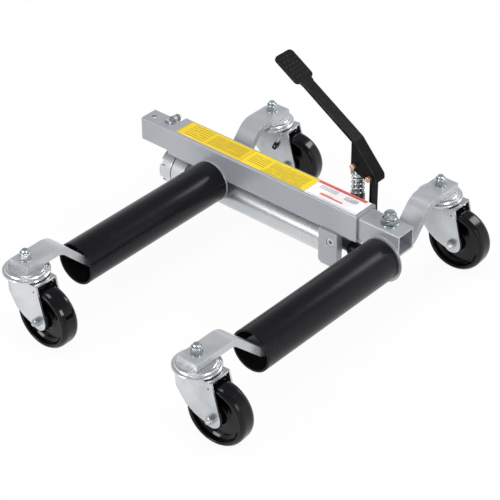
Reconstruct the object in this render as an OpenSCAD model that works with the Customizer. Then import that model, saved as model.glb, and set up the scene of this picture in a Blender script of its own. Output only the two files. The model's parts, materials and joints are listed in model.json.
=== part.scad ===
// Hydraulic vehicle positioning jack: a sliding beam with two roller arms on four swivel casters.
// X runs along the beam, Y runs to the back, Z is up. The floor is z = 0, and the origin is on
// the floor in the middle of the outline. Inside the modules, x = 0 is the sleeve's right mouth,
// y = 0 is the sleeve's front face, and z is measured from a level that puts the wheel axles at
// axle_z, so that larger wheels lift everything.

/* [Sleeve] */
// Side of the square outer sleeve
sleeve_w = 50; // [48:0.5:52]
// Length of the full square section
sleeve_l = 409; // [400:1:420]
// Length of the cut-away end piece at the left
stub_l = 60; // [50:1:62]
// Wall of the sleeve
sleeve_wall = 4.5; // [4:0.1:4.6]
// Height of the sleeve's top
sleeve_top = 132; // [130:0.5:134]
// Outer corner radius of both square tubes
tube_corner = 3; // [2:0.25:3.5]
// Radius of the hanging hole in the end piece
hang_hole_r = 5; // [4:0.25:6]

/* [Inner tube] */
// Side of the square inner tube
inner_w = 40; // [38:0.25:40]
// Wall of the inner tube
inner_wall = 3.5; // [3:0.1:4]
// How far the inner tube stands out of the sleeve
inner_out = 81; // [78:1:84]
// How far the inner tube reaches into the sleeve
inner_in = 300; // [260:5:320]

/* [Rollers] */
// Distance between the two roller axes
roller_pitch = 358; // [354:1:362]
// Distance of the right roller's axis from the sleeve's mouth
right_axis_x = 49.6; // [48:0.2:51]
// Height of the roller axes
roller_z = 72.5; // [71:0.5:74]
// Outer diameter of a roller
roller_d = 73; // [70:0.5:74]
// Length of the left roller
roller_l = 320; // [310:1:322]
// Length of the right roller
right_roller_l = 315.2; // [305:0.2:316]
// Wall of a roller
roller_wall = 3.5; // [3:0.1:4]
// Diameter of the fixed axle inside a roller
axle_d = 30; // [26:0.5:32]

/* [Arms] */
// Width of the flat bar that carries a caster
bar_w = 38.5; // [38:0.25:39.5]
// Thickness of the flat bar
bar_t = 12.5; // [12:0.25:12.75]
// Slope of the left front bar towards the roller
left_slope = 44.4; // [43.5:0.1:45]
// Slope of the right front bar towards the roller
right_slope = 42.7; // [42:0.1:44]
// Slope of the back bar behind the beam
back_slope = 48; // [47:0.5:49]
// Distance from the sleeve's front face to the right front kingpin
front_reach = 430.8; // [428:0.2:434]
// Distance from the sleeve's front face to the left front kingpin
left_front_reach = 427.4; // [426:0.2:431]
// Distance from the sleeve's front face to the back kingpins
back_reach = 155.8; // [153:0.2:158]

/* [Casters] */
// Wheel diameter
wheel_d = 105.6; // [104:0.2:106]
// Wheel width
wheel_w = 33; // [30:0.5:33]
// Height of the underside of the bars' ends
caster_h = 125; // [124.5:0.25:126]
// Distance from the kingpin to the wheel axle
trail = 42; // [40:0.5:43]
// Radius of the upper ball race
race_r = 38; // [37:0.5:38.5]
// Radius of the kingpin
kingpin_r = 6; // [5:0.25:6.5]

/* [Hydraulic unit] */
// Height of the ram axis
ram_z = 46; // [45:0.25:46]
// Outer radius of the ram barrel
ram_r = 27.5; // [26:0.25:27.5]
// Radius of the ram rod
rod_r = 9; // [8:0.25:10]
// Distance of the pump axis behind the sleeve's front face
pump_y = 70; // [69:0.5:71]
// Distance of the pump axis to the left of the sleeve's mouth
pump_x = 52; // [51:0.5:53]
// Travel of the pump plunger
pump_stroke = 22; // [18:0.5:22]

/* [Foot pedal] */
// Width of the tread plate
pad_w = 42; // [38:0.5:44]
// Length of the tread plate
pad_l = 59; // [54:0.5:62]
// Width of the channel-shaped lever
lever_w = 23.5; // [23:0.25:24.5]
// Slope of the lever's long upper part
lever_slope = 31.4; // [30:0.2:33]

/* [Hidden] */
$fn = 64;

satin_grey = "#b4b6ba";
zinc = "#c9ccd0";
roller_black = "#222327";
wheel_black = "#15161a";
pedal_black = "#1b1c1f";
steel = "#8d9196";
copper = "#c08a66";
bush_white = "#d8d6cc";

// Gaps between pieces: inside one body, and between a pin and what turns or slides on it
snug = 0.05;
running = 0.06;

// Where the pieces stand
left_axis_x = right_axis_x - roller_pitch;
stub_x = -sleeve_l - stub_l;
sleeve_bottom = sleeve_top - sleeve_w;
inner_y = (sleeve_w - inner_w)/2;
inner_bottom = sleeve_bottom + inner_y;
inner_top = inner_bottom + inner_w;
beam_y = sleeve_w/2;
wheel_r = wheel_d/2;
axle_z = 50.8;
roller_r = roller_d/2;
roller_back_y = -4;
right_roller_back_y = 2.2;
left_roller_front_y = roller_back_y - roller_l;
right_roller_front_y = right_roller_back_y - right_roller_l;
platform_top = caster_h + bar_t;
bar_z = caster_h + bar_t/2;
front_y = -front_reach;
left_front_y = -left_front_reach;

// The outline's middle, which every piece is moved by
right_swivel = 4;
mid_x = (stub_x + right_axis_x + trail*cos(right_swivel) + wheel_r)/2;
mid_y = (back_reach + front_y)/2;

module in_frame() translate([-mid_x, -mid_y, wheel_r - axle_z]) children();

// An outline in (x, z), drawn along y from y0 to y1
module along_y(y0, y1) translate([0, y1, 0]) rotate([90, 0, 0]) linear_extrude(y1 - y0) children();
// An outline in (y, z), drawn along x from x0 to x1
module along_x(x0, x1) translate([x0, 0, 0]) rotate([90, 0, 90]) linear_extrude(x1 - x0) children();
// A round bar along x or along y
module rod_x(x0, x1, r) translate([x0, 0, 0]) rotate([0, 90, 0]) cylinder(h = x1 - x0, r = r);
module rod_y(y0, y1, r) translate([0, y1, 0]) rotate([90, 0, 0]) cylinder(h = y1 - y0, r = r);
// Pipes along each axis, from their ends, outer radius and bore
module pipe_x(x0, x1, r, bore) difference() {
    rod_x(x0, x1, r);
    rod_x(x0 - 1, x1 + 1, bore);
}
module pipe_y(y0, y1, r, bore) difference() {
    rod_y(y0, y1, r);
    rod_y(y0 - 1, y1 + 1, bore);
}
module pipe_z(z0, z1, r, bore) difference() {
    translate([0, 0, z0]) cylinder(h = z1 - z0, r = r);
    translate([0, 0, z0 - 1]) cylinder(h = z1 - z0 + 2, r = bore);
}
// A hexagonal head or nut along z, by its size across the flats
module hexagon(z0, z1, flats) translate([0, 0, z0]) cylinder(h = z1 - z0, r = flats/2/cos(30), $fn = 6);
module hex_nut(z0, z1, flats, bore) difference() {
    hexagon(z0, z1, flats);
    translate([0, 0, z0 - 1]) cylinder(h = z1 - z0 + 2, r = bore);
}

// A rectangle with round corners, from its low corner
module round_rect(w, h, r) {
    translate([r, 0]) square([w - 2*r, h]);
    translate([0, r]) square([w, h - 2*r]);
    for (x = [r, w - r], y = [r, h - r]) translate([x, y]) circle(r);
}

module square_tube(x0, x1, side, wall, y0, z0) {
    along_x(x0, x1) translate([y0, z0]) difference() {
        round_rect(side, side, tube_corner);
        translate([wall, wall]) round_rect(side - 2*wall, side - 2*wall, 1);
    }
}

// Unit direction, and the points of a centre line whose corners are bent to a radius
function unit(v) = v/norm(v);
function bend_points(a, b, c, r, n = 10) =
    let (u = unit(a - b), v = unit(c - b), half = acos(u*v)/2, back = r/tan(half),
        start = b + u*back, centre = b + unit(u + v)*r/sin(half),
        a0 = atan2(start[1] - centre[1], start[0] - centre[0]),
        turn = 180 - 2*half, side = sign(u[1]*v[0] - u[0]*v[1]))
    [for (i = [0:n]) centre + r*[cos(a0 + side*turn*i/n), sin(a0 + side*turn*i/n)]];
function bent_path(points, radii) = [
    points[0],
    for (i = [1:len(points) - 2])
        for (p = bend_points(points[i - 1], points[i], points[i + 1], radii[i - 1])) p,
    points[len(points) - 1]];
function normal_at(path, i) =
    let (last = len(path) - 1, d = unit(path[min(i + 1, last)] - path[max(i - 1, 0)])) [-d[1], d[0]];

// A strip along a bent centre line, between two distances from that line
module strip(path, low, high) {
    polygon(concat(
        [for (i = [0:len(path) - 1]) path[i] + normal_at(path, i)*high],
        [for (i = [len(path) - 1:-1:0]) path[i] + normal_at(path, i)*low]));
}

// Outer sleeve with its cut-away end piece, hanging hole, bolt slot and bolt lug
stub_depth = 34.6;
stub_height = 41.8;
hole_x = stub_x + 14.5;
hole_y = 17.1;
bolt_x = -421;
bolt_z = sleeve_top + 1;
bolt_r = 4;
slot_w = 15.6;
shank_slot_w = 8.6;
slot_y = 14.4;
head_end = 21.4;
lug_y = 28;
lug_t = 5;
ear_r = 7;
lug_h = 14;
module stub_outline() {
    translate([0, sleeve_top - stub_height]) square([sleeve_wall, stub_height - tube_corner]);
    translate([tube_corner, sleeve_top - sleeve_wall]) square([stub_depth - tube_corner, sleeve_wall]);
    translate([tube_corner, sleeve_top - tube_corner]) circle(tube_corner);
}
module slot(y0, y1, w) translate([bolt_x - w/2, y0, bolt_z - slot_w/2]) cube([w, y1 - y0, slot_w]);
module sleeve() color(satin_grey) in_frame() {
    square_tube(-sleeve_l, 0, sleeve_w, sleeve_wall, 0, sleeve_bottom);
    difference() {
        union() {
            along_x(stub_x, -sleeve_l) stub_outline();
            translate([bolt_x - ear_r, lug_y, bolt_z - lug_h]) cube([2*ear_r, lug_t, lug_h]);
            translate([bolt_x, 0, bolt_z]) rod_y(lug_y, lug_y + lug_t, ear_r);
        }
        translate([hole_x, hole_y, sleeve_top - 10]) cylinder(h = 20, r = hang_hole_r);
        slot(slot_y, head_end, slot_w);
        slot(head_end - 1, lug_y, shank_slot_w);
        slot(lug_y - 2, lug_y, 2*ear_r + 3);
        slot(lug_y + lug_t, sleeve_w, slot_w);
        translate([bolt_x, 0, bolt_z]) rod_y(lug_y - 1, lug_y + lug_t + 1, bolt_r + snug);
    }
}

// Bolt that lies across the end piece, half sunk in its slot
bolt_flats = 13;
module stub_bolt() color(zinc) in_frame() translate([bolt_x, 0, bolt_z]) {
    rod_y(16, 46, bolt_r);
    rotate([90, 0, 0]) hexagon(-21, -15, bolt_flats);
    pipe_y(lug_y - 1.8, lug_y, 8, bolt_r + snug);
    rotate([90, 0, 0]) hex_nut(-lug_y - lug_t - 7, -lug_y - lug_t, bolt_flats, bolt_r + snug);
}

// Bare label panels on the sleeve's top
label_t = 0.3;
module panel(x0, x1, y0, y1) in_frame() translate([x0, y0, sleeve_top]) cube([x1 - x0, y1 - y0, label_t]);
module yellow_label() color("#f2c53a") panel(-391, -111, 4.4, 45.6);
module white_label() color("#f1f0ee") panel(-110.6, -5, 3.4, 46.6);

// Inner tube, which slides in the sleeve and carries the right arm
arm_bolt_r = 6;
arm_hole_r = arm_bolt_r + 0.2;
arm_bolt_x = right_axis_x - 3;
arm_bolt_y = beam_y + 2.5;
module at_arm_bolt() translate([arm_bolt_x, arm_bolt_y, 0]) children();
module arm_hole() at_arm_bolt() translate([0, 0, inner_bottom - bar_t - 1])
    cylinder(h = inner_w + bar_t + 2, r = arm_hole_r);
module inner_tube() color(satin_grey) in_frame() difference() {
    square_tube(-inner_in, inner_out, inner_w, inner_wall, inner_y, inner_bottom);
    arm_hole();
}

// Round flange plates between the beam and the rollers
flange_gap = 0.8;
axle_back_y = roller_back_y + flange_gap;
right_axle_back_y = right_roller_back_y + flange_gap;
module left_flange() color(satin_grey) in_frame()
    translate([left_axis_x, 0, roller_z]) rod_y(axle_back_y, 0, 36);
module right_flange() color(satin_grey) in_frame()
    translate([right_axis_x, 0, roller_z]) rod_y(right_axle_back_y, inner_y, 41);

// Front bar: level over the caster, then down into the roller's open end
left_bar_end = -442.6;
right_bar_end = -452.4;
left_low_y = -306.5;
right_low_y = -304.4;
axle_reach = 26.6;
function front_path(end_y, low_y, slope) = bent_path([[end_y, bar_z],
    [low_y - (bar_z - roller_z)/tan(slope), bar_z], [low_y, roller_z],
    [low_y + axle_reach, roller_z]], [30, 18]);
module kingpin_hole(x, y) translate([x, y, caster_h - 1]) cylinder(h = bar_t + 2, r = kingpin_r + 0.2);
module front_bar(x, kingpin_y, end_y, low_y, slope) difference() {
    along_x(x - bar_w/2, x + bar_w/2) strip(front_path(end_y, low_y, slope), -bar_t/2, bar_t/2);
    kingpin_hole(x, kingpin_y);
}
module left_front_bar() color(satin_grey) in_frame()
    front_bar(left_axis_x, left_front_y, left_bar_end, left_low_y, left_slope);
module right_front_bar() color(satin_grey) in_frame()
    front_bar(right_axis_x, front_y, right_bar_end, right_low_y, right_slope);

// Fixed axle from the flange to the front bar
left_axle_y = left_low_y + axle_reach;
right_axle_y = right_low_y + axle_reach;
module axle(x, y0, y1) translate([x, 0, roller_z]) rod_y(y0, y1, axle_d/2);
module left_axle() color(steel) in_frame() axle(left_axis_x, left_axle_y, axle_back_y);
module right_axle() color(steel) in_frame() axle(right_axis_x, right_axle_y, right_axle_back_y);

// Back bar: level under the beam, then up in a swan neck to the caster
neck_y = 106.1;
back_end = 23.2;
function neck_at(z) = neck_y - (bar_z - z)/tan(back_slope);
function back_path(y0, z0) = bent_path([[y0, z0], [neck_at(z0), z0], [neck_y, bar_z],
    [back_reach + back_end, bar_z]], [18.5, 31.5]);
module back_bar(x, y0, z0) difference() {
    along_x(x - bar_w/2, x + bar_w/2) strip(back_path(y0, z0), -bar_t/2, bar_t/2);
    kingpin_hole(x, back_reach);
}
module left_back_bar() color(satin_grey) in_frame() difference() {
    back_bar(left_axis_x, 0.5, sleeve_bottom - bar_t/2);
    translate([0, ram_y, ram_z]) rod_x(left_axis_x - bar_w, left_axis_x + bar_w, ram_r + 0.4);
}
module right_back_bar() color(satin_grey) in_frame() difference() {
    back_bar(right_axis_x, inner_y + 0.5, inner_bottom - bar_t/2);
    arm_hole();
}

// Big bolt through the inner tube and the right back bar, with its washers
under_bar = inner_bottom - bar_t;
module arm_bolt() color(zinc) in_frame() at_arm_bolt() {
    translate([0, 0, under_bar - 15]) cylinder(h = inner_top - under_bar + 16, r = arm_bolt_r);
    pipe_z(inner_top, inner_top + 2.5, 15.2, arm_bolt_r + snug);
    hexagon(inner_top + 2.5, inner_top + 11, 23.5);
    hexagon(inner_top + 11, inner_top + 20.5, 17.5);
    translate([0, 0, inner_top + 20.5]) cylinder(h = 1.5, r = 7.8);
}

// Rollers: plain tubes that turn on two bushes each
roller_bore = roller_r - roller_wall;
bush_l = 20;
front_inset = 13;
back_inset = 6;
module roller(x, y0, y1) translate([x, 0, roller_z]) pipe_y(y0, y1, roller_r, roller_bore);
module bushes(x, axle_y, y1) translate([x, 0, roller_z])
    for (y = [axle_y + front_inset, y1 - back_inset - bush_l])
        pipe_y(y, y + bush_l, roller_bore - 0.02, axle_d/2 + running);
module left_roller() color(roller_black) in_frame()
    roller(left_axis_x, left_roller_front_y, roller_back_y);
module right_roller() color(roller_black) in_frame()
    roller(right_axis_x, right_roller_front_y, right_roller_back_y);
module left_bushes() color(bush_white) in_frame() bushes(left_axis_x, left_axle_y, roller_back_y);
module right_bushes() color(bush_white) in_frame()
    bushes(right_axis_x, right_axle_y, right_roller_back_y);

// Ram under the sleeve: barrel, end cap, gland, piston, seals and rod
ram_y = 27.6;
ram_bore = 23;
barrel_x0 = -400;
barrel_x1 = -58;
cap_r = 34;
cap_l = 25;
cap_plug = 8;
notch_w = 9;
notch_d = 5;
piston_x0 = -384;
piston_x1 = -366;
seal_w = 3;
seal_d = 3;
seal_places = [piston_x0 + seal_w, piston_x1 - 2*seal_w];
rod_end_r = 7;
bracket_x = 29;
bracket_t = 6;
bracket_w = 32;
module ram_at() in_frame() translate([0, ram_y, ram_z]) children();
head_l = 30;
head_gap = 0.8;
module ram_barrel() color(zinc) ram_at() {
    pipe_x(barrel_x0, barrel_x1, ram_r, ram_bore);
    pipe_x(barrel_x0 + head_gap, barrel_x0 + head_l, cap_r - 0.5, ram_bore + 2);
}
module ram_end_cap() color(zinc) ram_at() difference() {
    union() {
        rod_x(barrel_x0 - cap_l, barrel_x0, cap_r);
        rod_x(barrel_x0, barrel_x0 + cap_plug, ram_bore - snug);
    }
    for (a = [30:60:330]) rotate([a, 0, 0])
        translate([barrel_x0 - cap_l - 1, cap_r - notch_d, -notch_w/2]) cube([cap_l/2, 2*notch_d, notch_w]);
    rod_x(barrel_x0 - cap_l - 1, barrel_x0 - cap_l + 6, 12);
}
module ram_gland() color(steel) ram_at() pipe_x(barrel_x1 - 16, barrel_x1, ram_bore - snug, rod_r + running);
module ram_piston() color(steel) ram_at() difference() {
    pipe_x(piston_x0, piston_x1, ram_bore - 0.1, rod_end_r + snug);
    for (x = seal_places) pipe_x(x, x + seal_w, ram_bore + 1, ram_bore - seal_d);
}
module piston_seals() color("#3a2c26") ram_at() for (x = seal_places)
    pipe_x(x + snug, x + seal_w - snug, ram_bore - running, ram_bore - seal_d + snug);
module ram_rod() color(steel) ram_at() {
    rod_x(piston_x0, piston_x1, rod_end_r);
    rod_x(piston_x1, bracket_x, rod_r);
    rod_x(bracket_x, bracket_x + bracket_t + 12, rod_end_r);
}
module rod_collar() color(roller_black) ram_at() pipe_x(-30, -13, 12, rod_r + snug);
module rod_bracket() color(satin_grey) ram_at() difference() {
    along_x(bracket_x, bracket_x + bracket_t) {
        circle(bracket_w/2);
        translate([-bracket_w/2, 0]) square([bracket_w, under_bar - ram_z]);
    }
    rod_x(bracket_x - 1, bracket_x + bracket_t + 1, rod_end_r + snug);
}

// Nuts under the right arm: one on the big bolt and one on the rod's end
module arm_nuts() color(zinc) {
    in_frame() at_arm_bolt() {
        pipe_z(under_bar - 2, under_bar, 11, arm_bolt_r + snug);
        hex_nut(under_bar - 12, under_bar - 2, 18, arm_bolt_r + snug);
    }
    ram_at() translate([bracket_x + bracket_t, 0, 0]) rotate([0, 90, 0]) hex_nut(0, 8, 20, rod_end_r + snug);
}

// Block that holds the ram under the sleeve, with the base of the pump behind it
block_x0 = -73;
block_x1 = -35;
block_front = -4;
plate_back = 10.5;
block_low = 16;
chamfer = 6;
pump_base_y = 54;
pump_back = 88;
base_low = 34;
base_top = 98;
post_x = -20;
post_w = 16;
post_t = 6;
tongue_h = 12;
valve_x = -49;
valve_z = 63;
valve_r = 7.5;
plunger_r = 8.5;
plunger_low = base_low + 28;
module block_outline() polygon([[block_x0, block_low + chamfer], [block_x0 + chamfer, block_low],
    [block_x1, block_low], [block_x1, sleeve_bottom - chamfer/2], [block_x1 - chamfer/2, sleeve_bottom],
    [block_x0, sleeve_bottom]]);
module pump_block() color(satin_grey) in_frame() difference() {
    union() {
        along_y(block_front, plate_back) block_outline();
        translate([block_x0, plate_back, base_low])
            cube([barrel_x1 - block_x0, pump_base_y - plate_back, sleeve_bottom - base_low]);
        translate([block_x0, pump_base_y, base_low])
            cube([block_x1 - block_x0, pump_back - pump_base_y, base_top - base_low]);
        translate([block_x1, pump_y - post_w/2 - 1, base_top - tongue_h])
            cube([post_x + post_w/2 - block_x1, post_w + 2, tongue_h]);
    }
    translate([0, ram_y, ram_z]) rod_x(block_x0 - 1, barrel_x1, ram_r + snug);
    translate([valve_x, 0, valve_z]) rod_y(block_front - 1, block_front + 10, valve_r + 0.3);
    translate([-pump_x, pump_y, base_low + 4]) cylinder(h = base_top, r = plunger_r + running);
}

// Pump barrel, and the post that carries the pedal's pivot
pump_r = 12;
pump_top = 123;
pump_foot = 7;
pivot_z = 168;
pivot_r = 4;
pin_z = pivot_z + pump_stroke/2;
eye_r = 7.5;
module pump_barrel() color("#4a4d52") in_frame() translate([-pump_x, pump_y, 0]) {
    hex_nut(base_top, base_top + pump_foot, 26, plunger_r + running);
    pipe_z(base_top + pump_foot, pump_top, pump_r, plunger_r + running);
}
module pivot_post() color(pedal_black) in_frame() difference() {
    union() {
        translate([post_x - post_t/2, pump_y - post_w/2, base_top])
            cube([post_t, post_w, pivot_z - base_top]);
        translate([post_x, 0, pivot_z]) rod_y(pump_y - post_w/2, pump_y + post_w/2, eye_r);
    }
    translate([post_x, 0, pivot_z]) rod_y(pump_y - post_w, pump_y + post_w, pivot_r + snug);
}
module pivot_pin() color(copper) in_frame() translate([post_x, 0, pivot_z]) {
    rod_y(pump_y - 16, pump_y + 16, pivot_r);
    rod_y(pump_y - 19, pump_y - 12.5, pivot_r + 0.8);
}

// Plunger with its spring cap and a slotted eye for the pedal's pin
cap_z = 160;
head_w = 18;
head_t = 10;
slot_play = 2;
pin_play = pivot_r + 0.4;
module plunger() color(zinc) in_frame() translate([-pump_x, pump_y, 0]) {
    translate([0, 0, plunger_low]) cylinder(h = cap_z - plunger_low, r = plunger_r);
    translate([0, 0, cap_z]) cylinder(h = 4, r = 13);
    translate([0, 0, cap_z + 4]) cylinder(h = 4, r = 9.5);
    difference() {
        translate([-head_w/2, -head_t/2, cap_z + 8]) cube([head_w, head_t, pin_z + 9 - cap_z - 8]);
        for (x = [-slot_play, slot_play]) translate([x, 0, pin_z]) rod_y(-head_t, head_t, pin_play);
        translate([-slot_play, -head_t, pin_z - pin_play]) cube([2*slot_play, 2*head_t, 2*pin_play]);
    }
}

// Return spring: a wire along a helix whose ends lie flat
wire_r = 1.4;
coil_r = 10.6;
coil_turns = 5;
coil_steps = 18;
wire_sides = 6;
end_turn = 0.12;
coil_low = pump_top + wire_r + 0.3;
coil_high = cap_z - wire_r - 0.3;
function coil_angle(i) = 360*i/coil_steps;
function coil_rise(i) =
    let (t = i/(coil_turns*coil_steps)) min(1, max(0, (t - end_turn)/(1 - 2*end_turn)));
function coil_point(i, k) =
    let (out = coil_r + wire_r*cos(360*k/wire_sides), up = wire_r*sin(360*k/wire_sides))
    [out*cos(coil_angle(i)), out*sin(coil_angle(i)), coil_low + (coil_high - coil_low)*coil_rise(i) + up];
module return_spring() color(zinc) in_frame() translate([-pump_x, pump_y, 0]) {
    rings = coil_turns*coil_steps;
    points = [for (i = [0:rings], k = [0:wire_sides - 1]) coil_point(i, k)];
    sides = [for (i = [0:rings - 1], k = [0:wire_sides - 1]) let (n = (k + 1) % wire_sides)
        [i*wire_sides + k, i*wire_sides + n, (i + 1)*wire_sides + n, (i + 1)*wire_sides + k]];
    first = [for (k = [wire_sides - 1:-1:0]) k];
    last = [for (k = [0:wire_sides - 1]) rings*wire_sides + k];
    polyhedron(points, concat([first, last], sides));
}

// Socket-headed valve screw in the block's front
module release_valve() color(zinc) in_frame() translate([valve_x, 0, valve_z]) difference() {
    rod_y(block_front + 1, block_front + 9.5, valve_r);
    rotate([90, 0, 0]) hexagon(-block_front - 6, -block_front, 6);
}

// Foot pedal: tread plate, channel lever and two side plates
web_t = 3.5;
tread_t = 4;
side_t = 3;
side_low = 2.8;
side_high = 3.4;
far_end = [-215, 320];
low_corner = [-9.6, 171.2];
low_end = [-9.6, 162.4];
knee_run = 160;
down_lever = [cos(lever_slope), -sin(lever_slope)];
knee = far_end + down_lever*knee_run/cos(lever_slope);
pedal_path = bent_path([far_end + down_lever*(pad_l - 1), knee, low_corner, low_end], [25, 8]);
path_last = len(pedal_path) - 1;
turn_start = path_last - 11;
// The side plates round the two pivots, up to the lever's top where it turns down
gusset = concat([[-59, 223], [-59, 177], [-55, 170.5], [-30, 161.6], [-14, 160.4]],
    [for (i = [path_last:-1:turn_start]) pedal_path[i] + normal_at(pedal_path, i)*web_t/2], [[-50, 216]]);
// The side plates' outline along the lever: it follows its top and grows deeper towards the knee
module side_outline() {
    polygon(concat(
        [for (i = [0:turn_start]) pedal_path[i] + normal_at(pedal_path, i)*web_t/2],
        [for (i = [turn_start:-1:0])
            pedal_path[i] - normal_at(pedal_path, i)*(i == 0 ? side_low : side_high)]));
}
module tread_plate() translate([far_end[0], pump_y, far_end[1]]) rotate([0, lever_slope, 0])
    translate([0, -pad_w/2, -tread_t/2]) linear_extrude(tread_t) {
        round_rect(pad_l, pad_w, 8);
        translate([pad_l - 8, (pad_w - lever_w)/2 - 1.2]) round_rect(14, lever_w + 2.4, 1);
    }
module foot_pedal() color(pedal_black) in_frame() difference() {
    union() {
        tread_plate();
        along_y(pump_y - lever_w/2, pump_y + lever_w/2) strip(pedal_path, -web_t/2, web_t/2);
        for (y = [-lever_w/2, lever_w/2 - side_t]) along_y(pump_y + y, pump_y + y + side_t) {
            polygon(gusset);
            side_outline();
        }
    }
    for (p = [[-pump_x, pin_z], [post_x, pivot_z]])
        translate([p[0], 0, p[1]]) rod_y(pump_y - lever_w, pump_y + lever_w, pivot_r + running);
}
module plunger_pin() color(copper) in_frame()
    translate([-pump_x, 0, pin_z]) {
        rod_y(pump_y - 15, pump_y + 15, pivot_r);
        rod_y(pump_y - 19, pump_y - 12.5, pivot_r + 0.8);
    }

// Casters: each is drawn with its kingpin on z and its wheel trailing towards +x, then turned
swivels = [["front_left", left_axis_x, left_front_y, 0], ["front_right", right_axis_x, front_y, right_swivel],
    ["back_left", left_axis_x, back_reach, 10.5], ["back_right", right_axis_x, back_reach, 3]];
leg_y = 22;
leg_t = 3;
plate_z = 112;
track_z = 115;
shank_r = 4.5;
hub_r = 9;
hub_l = 35;
eyelet_r = 1.8;
function mirrored(points) =
    concat(points, [for (i = [len(points) - 1:-1:0]) [points[i][0], -points[i][1]]]);
fork_outer = mirrored([[58, leg_y], [21, leg_y], [-6, 20.5], [-30, 13], [-38, 6]]);
fork_inner = mirrored([[60, leg_y - leg_t], [21, leg_y - leg_t], [-5.4, 17.6], [-28.6, 10.3], [-35, 4.6]]);
leg_side = [[-38, track_z], [43, track_z], [57.6, 56], [trail, axle_z], [30.5, 39.6], [10, 46.5],
    [-6, 56], [-18, 64], [-30, 73], [-36, 82], [-38, 92]];
lower_track = [[kingpin_r + 2, 0], [34, 0], [34.6, 1], [33.6, 1.6], [28, 1.6], [27, 6.4],
    [kingpin_r + 2, 6.4]];
module at_swivel(i) in_frame() translate([swivels[i][1], swivels[i][2], 0])
    rotate([0, 0, swivels[i][3]]) children();
module at_axle() translate([trail, 0, axle_z]) children();
module legs() intersection() {
    difference() {
        linear_extrude(track_z) polygon(fork_outer);
        translate([0, 0, -1]) linear_extrude(track_z + 2) polygon(fork_inner);
    }
    along_y(-leg_y - 1, leg_y + 1) {
        polygon(leg_side);
        translate([trail, axle_z]) circle(16);
    }
}
module fork() difference() {
    union() {
        legs();
        translate([0, 0, plate_z]) cylinder(h = track_z - plate_z, r = 32);
        translate([0, 0, plate_z]) linear_extrude(track_z - plate_z) intersection() {
            polygon(fork_outer);
            translate([-40, -40]) square([83, 80]);
        }
        translate([0, 0, track_z]) rotate_extrude() polygon(lower_track);
    }
    translate([0, 0, plate_z - 1]) cylinder(h = 20, r = kingpin_r + running);
    at_axle() rod_y(-leg_y - 1, leg_y + 1, shank_r + snug);
    translate([37, 0, 104]) rod_y(-leg_y - 1, leg_y + 1, eyelet_r);
}
module wheel_axle() at_axle() {
    rod_y(-leg_y - 11, leg_y + 1, shank_r);
    rotate([90, 0, 0]) {
        hexagon(-leg_y - 6, -leg_y, 13);
        hex_nut(leg_y, leg_y + 7, 13, shank_r + snug);
    }
    for (y = [-leg_y + leg_t, leg_y - leg_t - 1.2]) pipe_y(y, y + 1.2, 13, shank_r + snug);
}
wheel_half = mirrored([[wheel_r, 8], [wheel_r - 1, 12], [wheel_r - 4.5, wheel_w/2],
    [wheel_r - 7.5, wheel_w/2], [wheel_r - 10, 8], [wheel_r - 14, 4.5], [17.5, 7], [15, wheel_w/2 + 0.5],
    [hub_r, wheel_w/2 + 0.5]]);
module wheel() at_axle() rotate([90, 0, 0]) rotate_extrude() polygon(wheel_half);
module hub() at_axle() pipe_y(-hub_l/2, hub_l/2, hub_r - 0.02, shank_r + running);
module front_left_fork() color(zinc) at_swivel(0) fork();
module front_right_fork() color(zinc) at_swivel(1) fork();
module back_left_fork() color(zinc) difference() {
    at_swivel(2) fork();
    at_lock() rod_y(-leg_y - 1, -leg_y + leg_t + 1, lock_pin_r + running);
}
module back_right_fork() color(zinc) at_swivel(3) fork();
module front_left_axle() color(zinc) at_swivel(0) wheel_axle();
module front_right_axle() color(zinc) at_swivel(1) wheel_axle();
module back_left_axle() color(zinc) at_swivel(2) wheel_axle();
module back_right_axle() color(zinc) at_swivel(3) wheel_axle();
module front_left_wheel() color(wheel_black) at_swivel(0) wheel();
module front_right_wheel() color(wheel_black) at_swivel(1) wheel();
module back_left_wheel() color(wheel_black) at_swivel(2) wheel();
module back_right_wheel() color(wheel_black) at_swivel(3) wheel();
module front_left_hub() color(steel) at_swivel(0) hub();
module front_right_hub() color(steel) at_swivel(1) hub();
module back_left_hub() color(steel) at_swivel(2) hub();
module back_right_hub() color(steel) at_swivel(3) hub();

// Fixed upper races, the balls under them and the kingpins with their nuts, one group for each side
nut_z = platform_top + 2;
module race() translate([0, 0, caster_h]) rotate_extrude()
    polygon([[kingpin_r + snug, -3], [29, -3], [32.5, -5.5], [race_r - 2, -8], [race_r, -8],
        [race_r, -5], [race_r - 2.5, -2], [31, 0], [kingpin_r + snug, 0]]);
module kingpin() {
    translate([0, 0, plate_z - 7.5]) cylinder(h = platform_top + 18 - plate_z + 7.5, r = kingpin_r);
    translate([0, 0, plate_z - 7.5]) cylinder(h = 7, r = 10);
    pipe_z(platform_top, nut_z, 9.8, kingpin_r + snug);
    hex_nut(nut_z, nut_z + 9, 17, kingpin_r + snug);
    pipe_z(nut_z + 9, nut_z + 12, 8.4, kingpin_r + snug);
}
ball_r = 1.8;
ball_ring_r = 30.4;
ball_step = 18;
module balls() for (a = [0:ball_step:359]) rotate([0, 0, a])
    translate([ball_ring_r, 0, track_z + 3.7]) sphere(ball_r);
module at_kingpins(x, y0) in_frame() for (y = [y0, back_reach]) translate([x, y, 0]) children();
module left_races() color(zinc) at_kingpins(left_axis_x, left_front_y) race();
module right_races() color(zinc) at_kingpins(right_axis_x, front_y) race();
module left_balls() color(steel) at_kingpins(left_axis_x, left_front_y) balls();
module right_balls() color(steel) at_kingpins(right_axis_x, front_y) balls();
module left_kingpins() color(zinc) at_kingpins(left_axis_x, left_front_y) kingpin();
module right_kingpins() color(zinc) at_kingpins(right_axis_x, front_y) kingpin();

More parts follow.
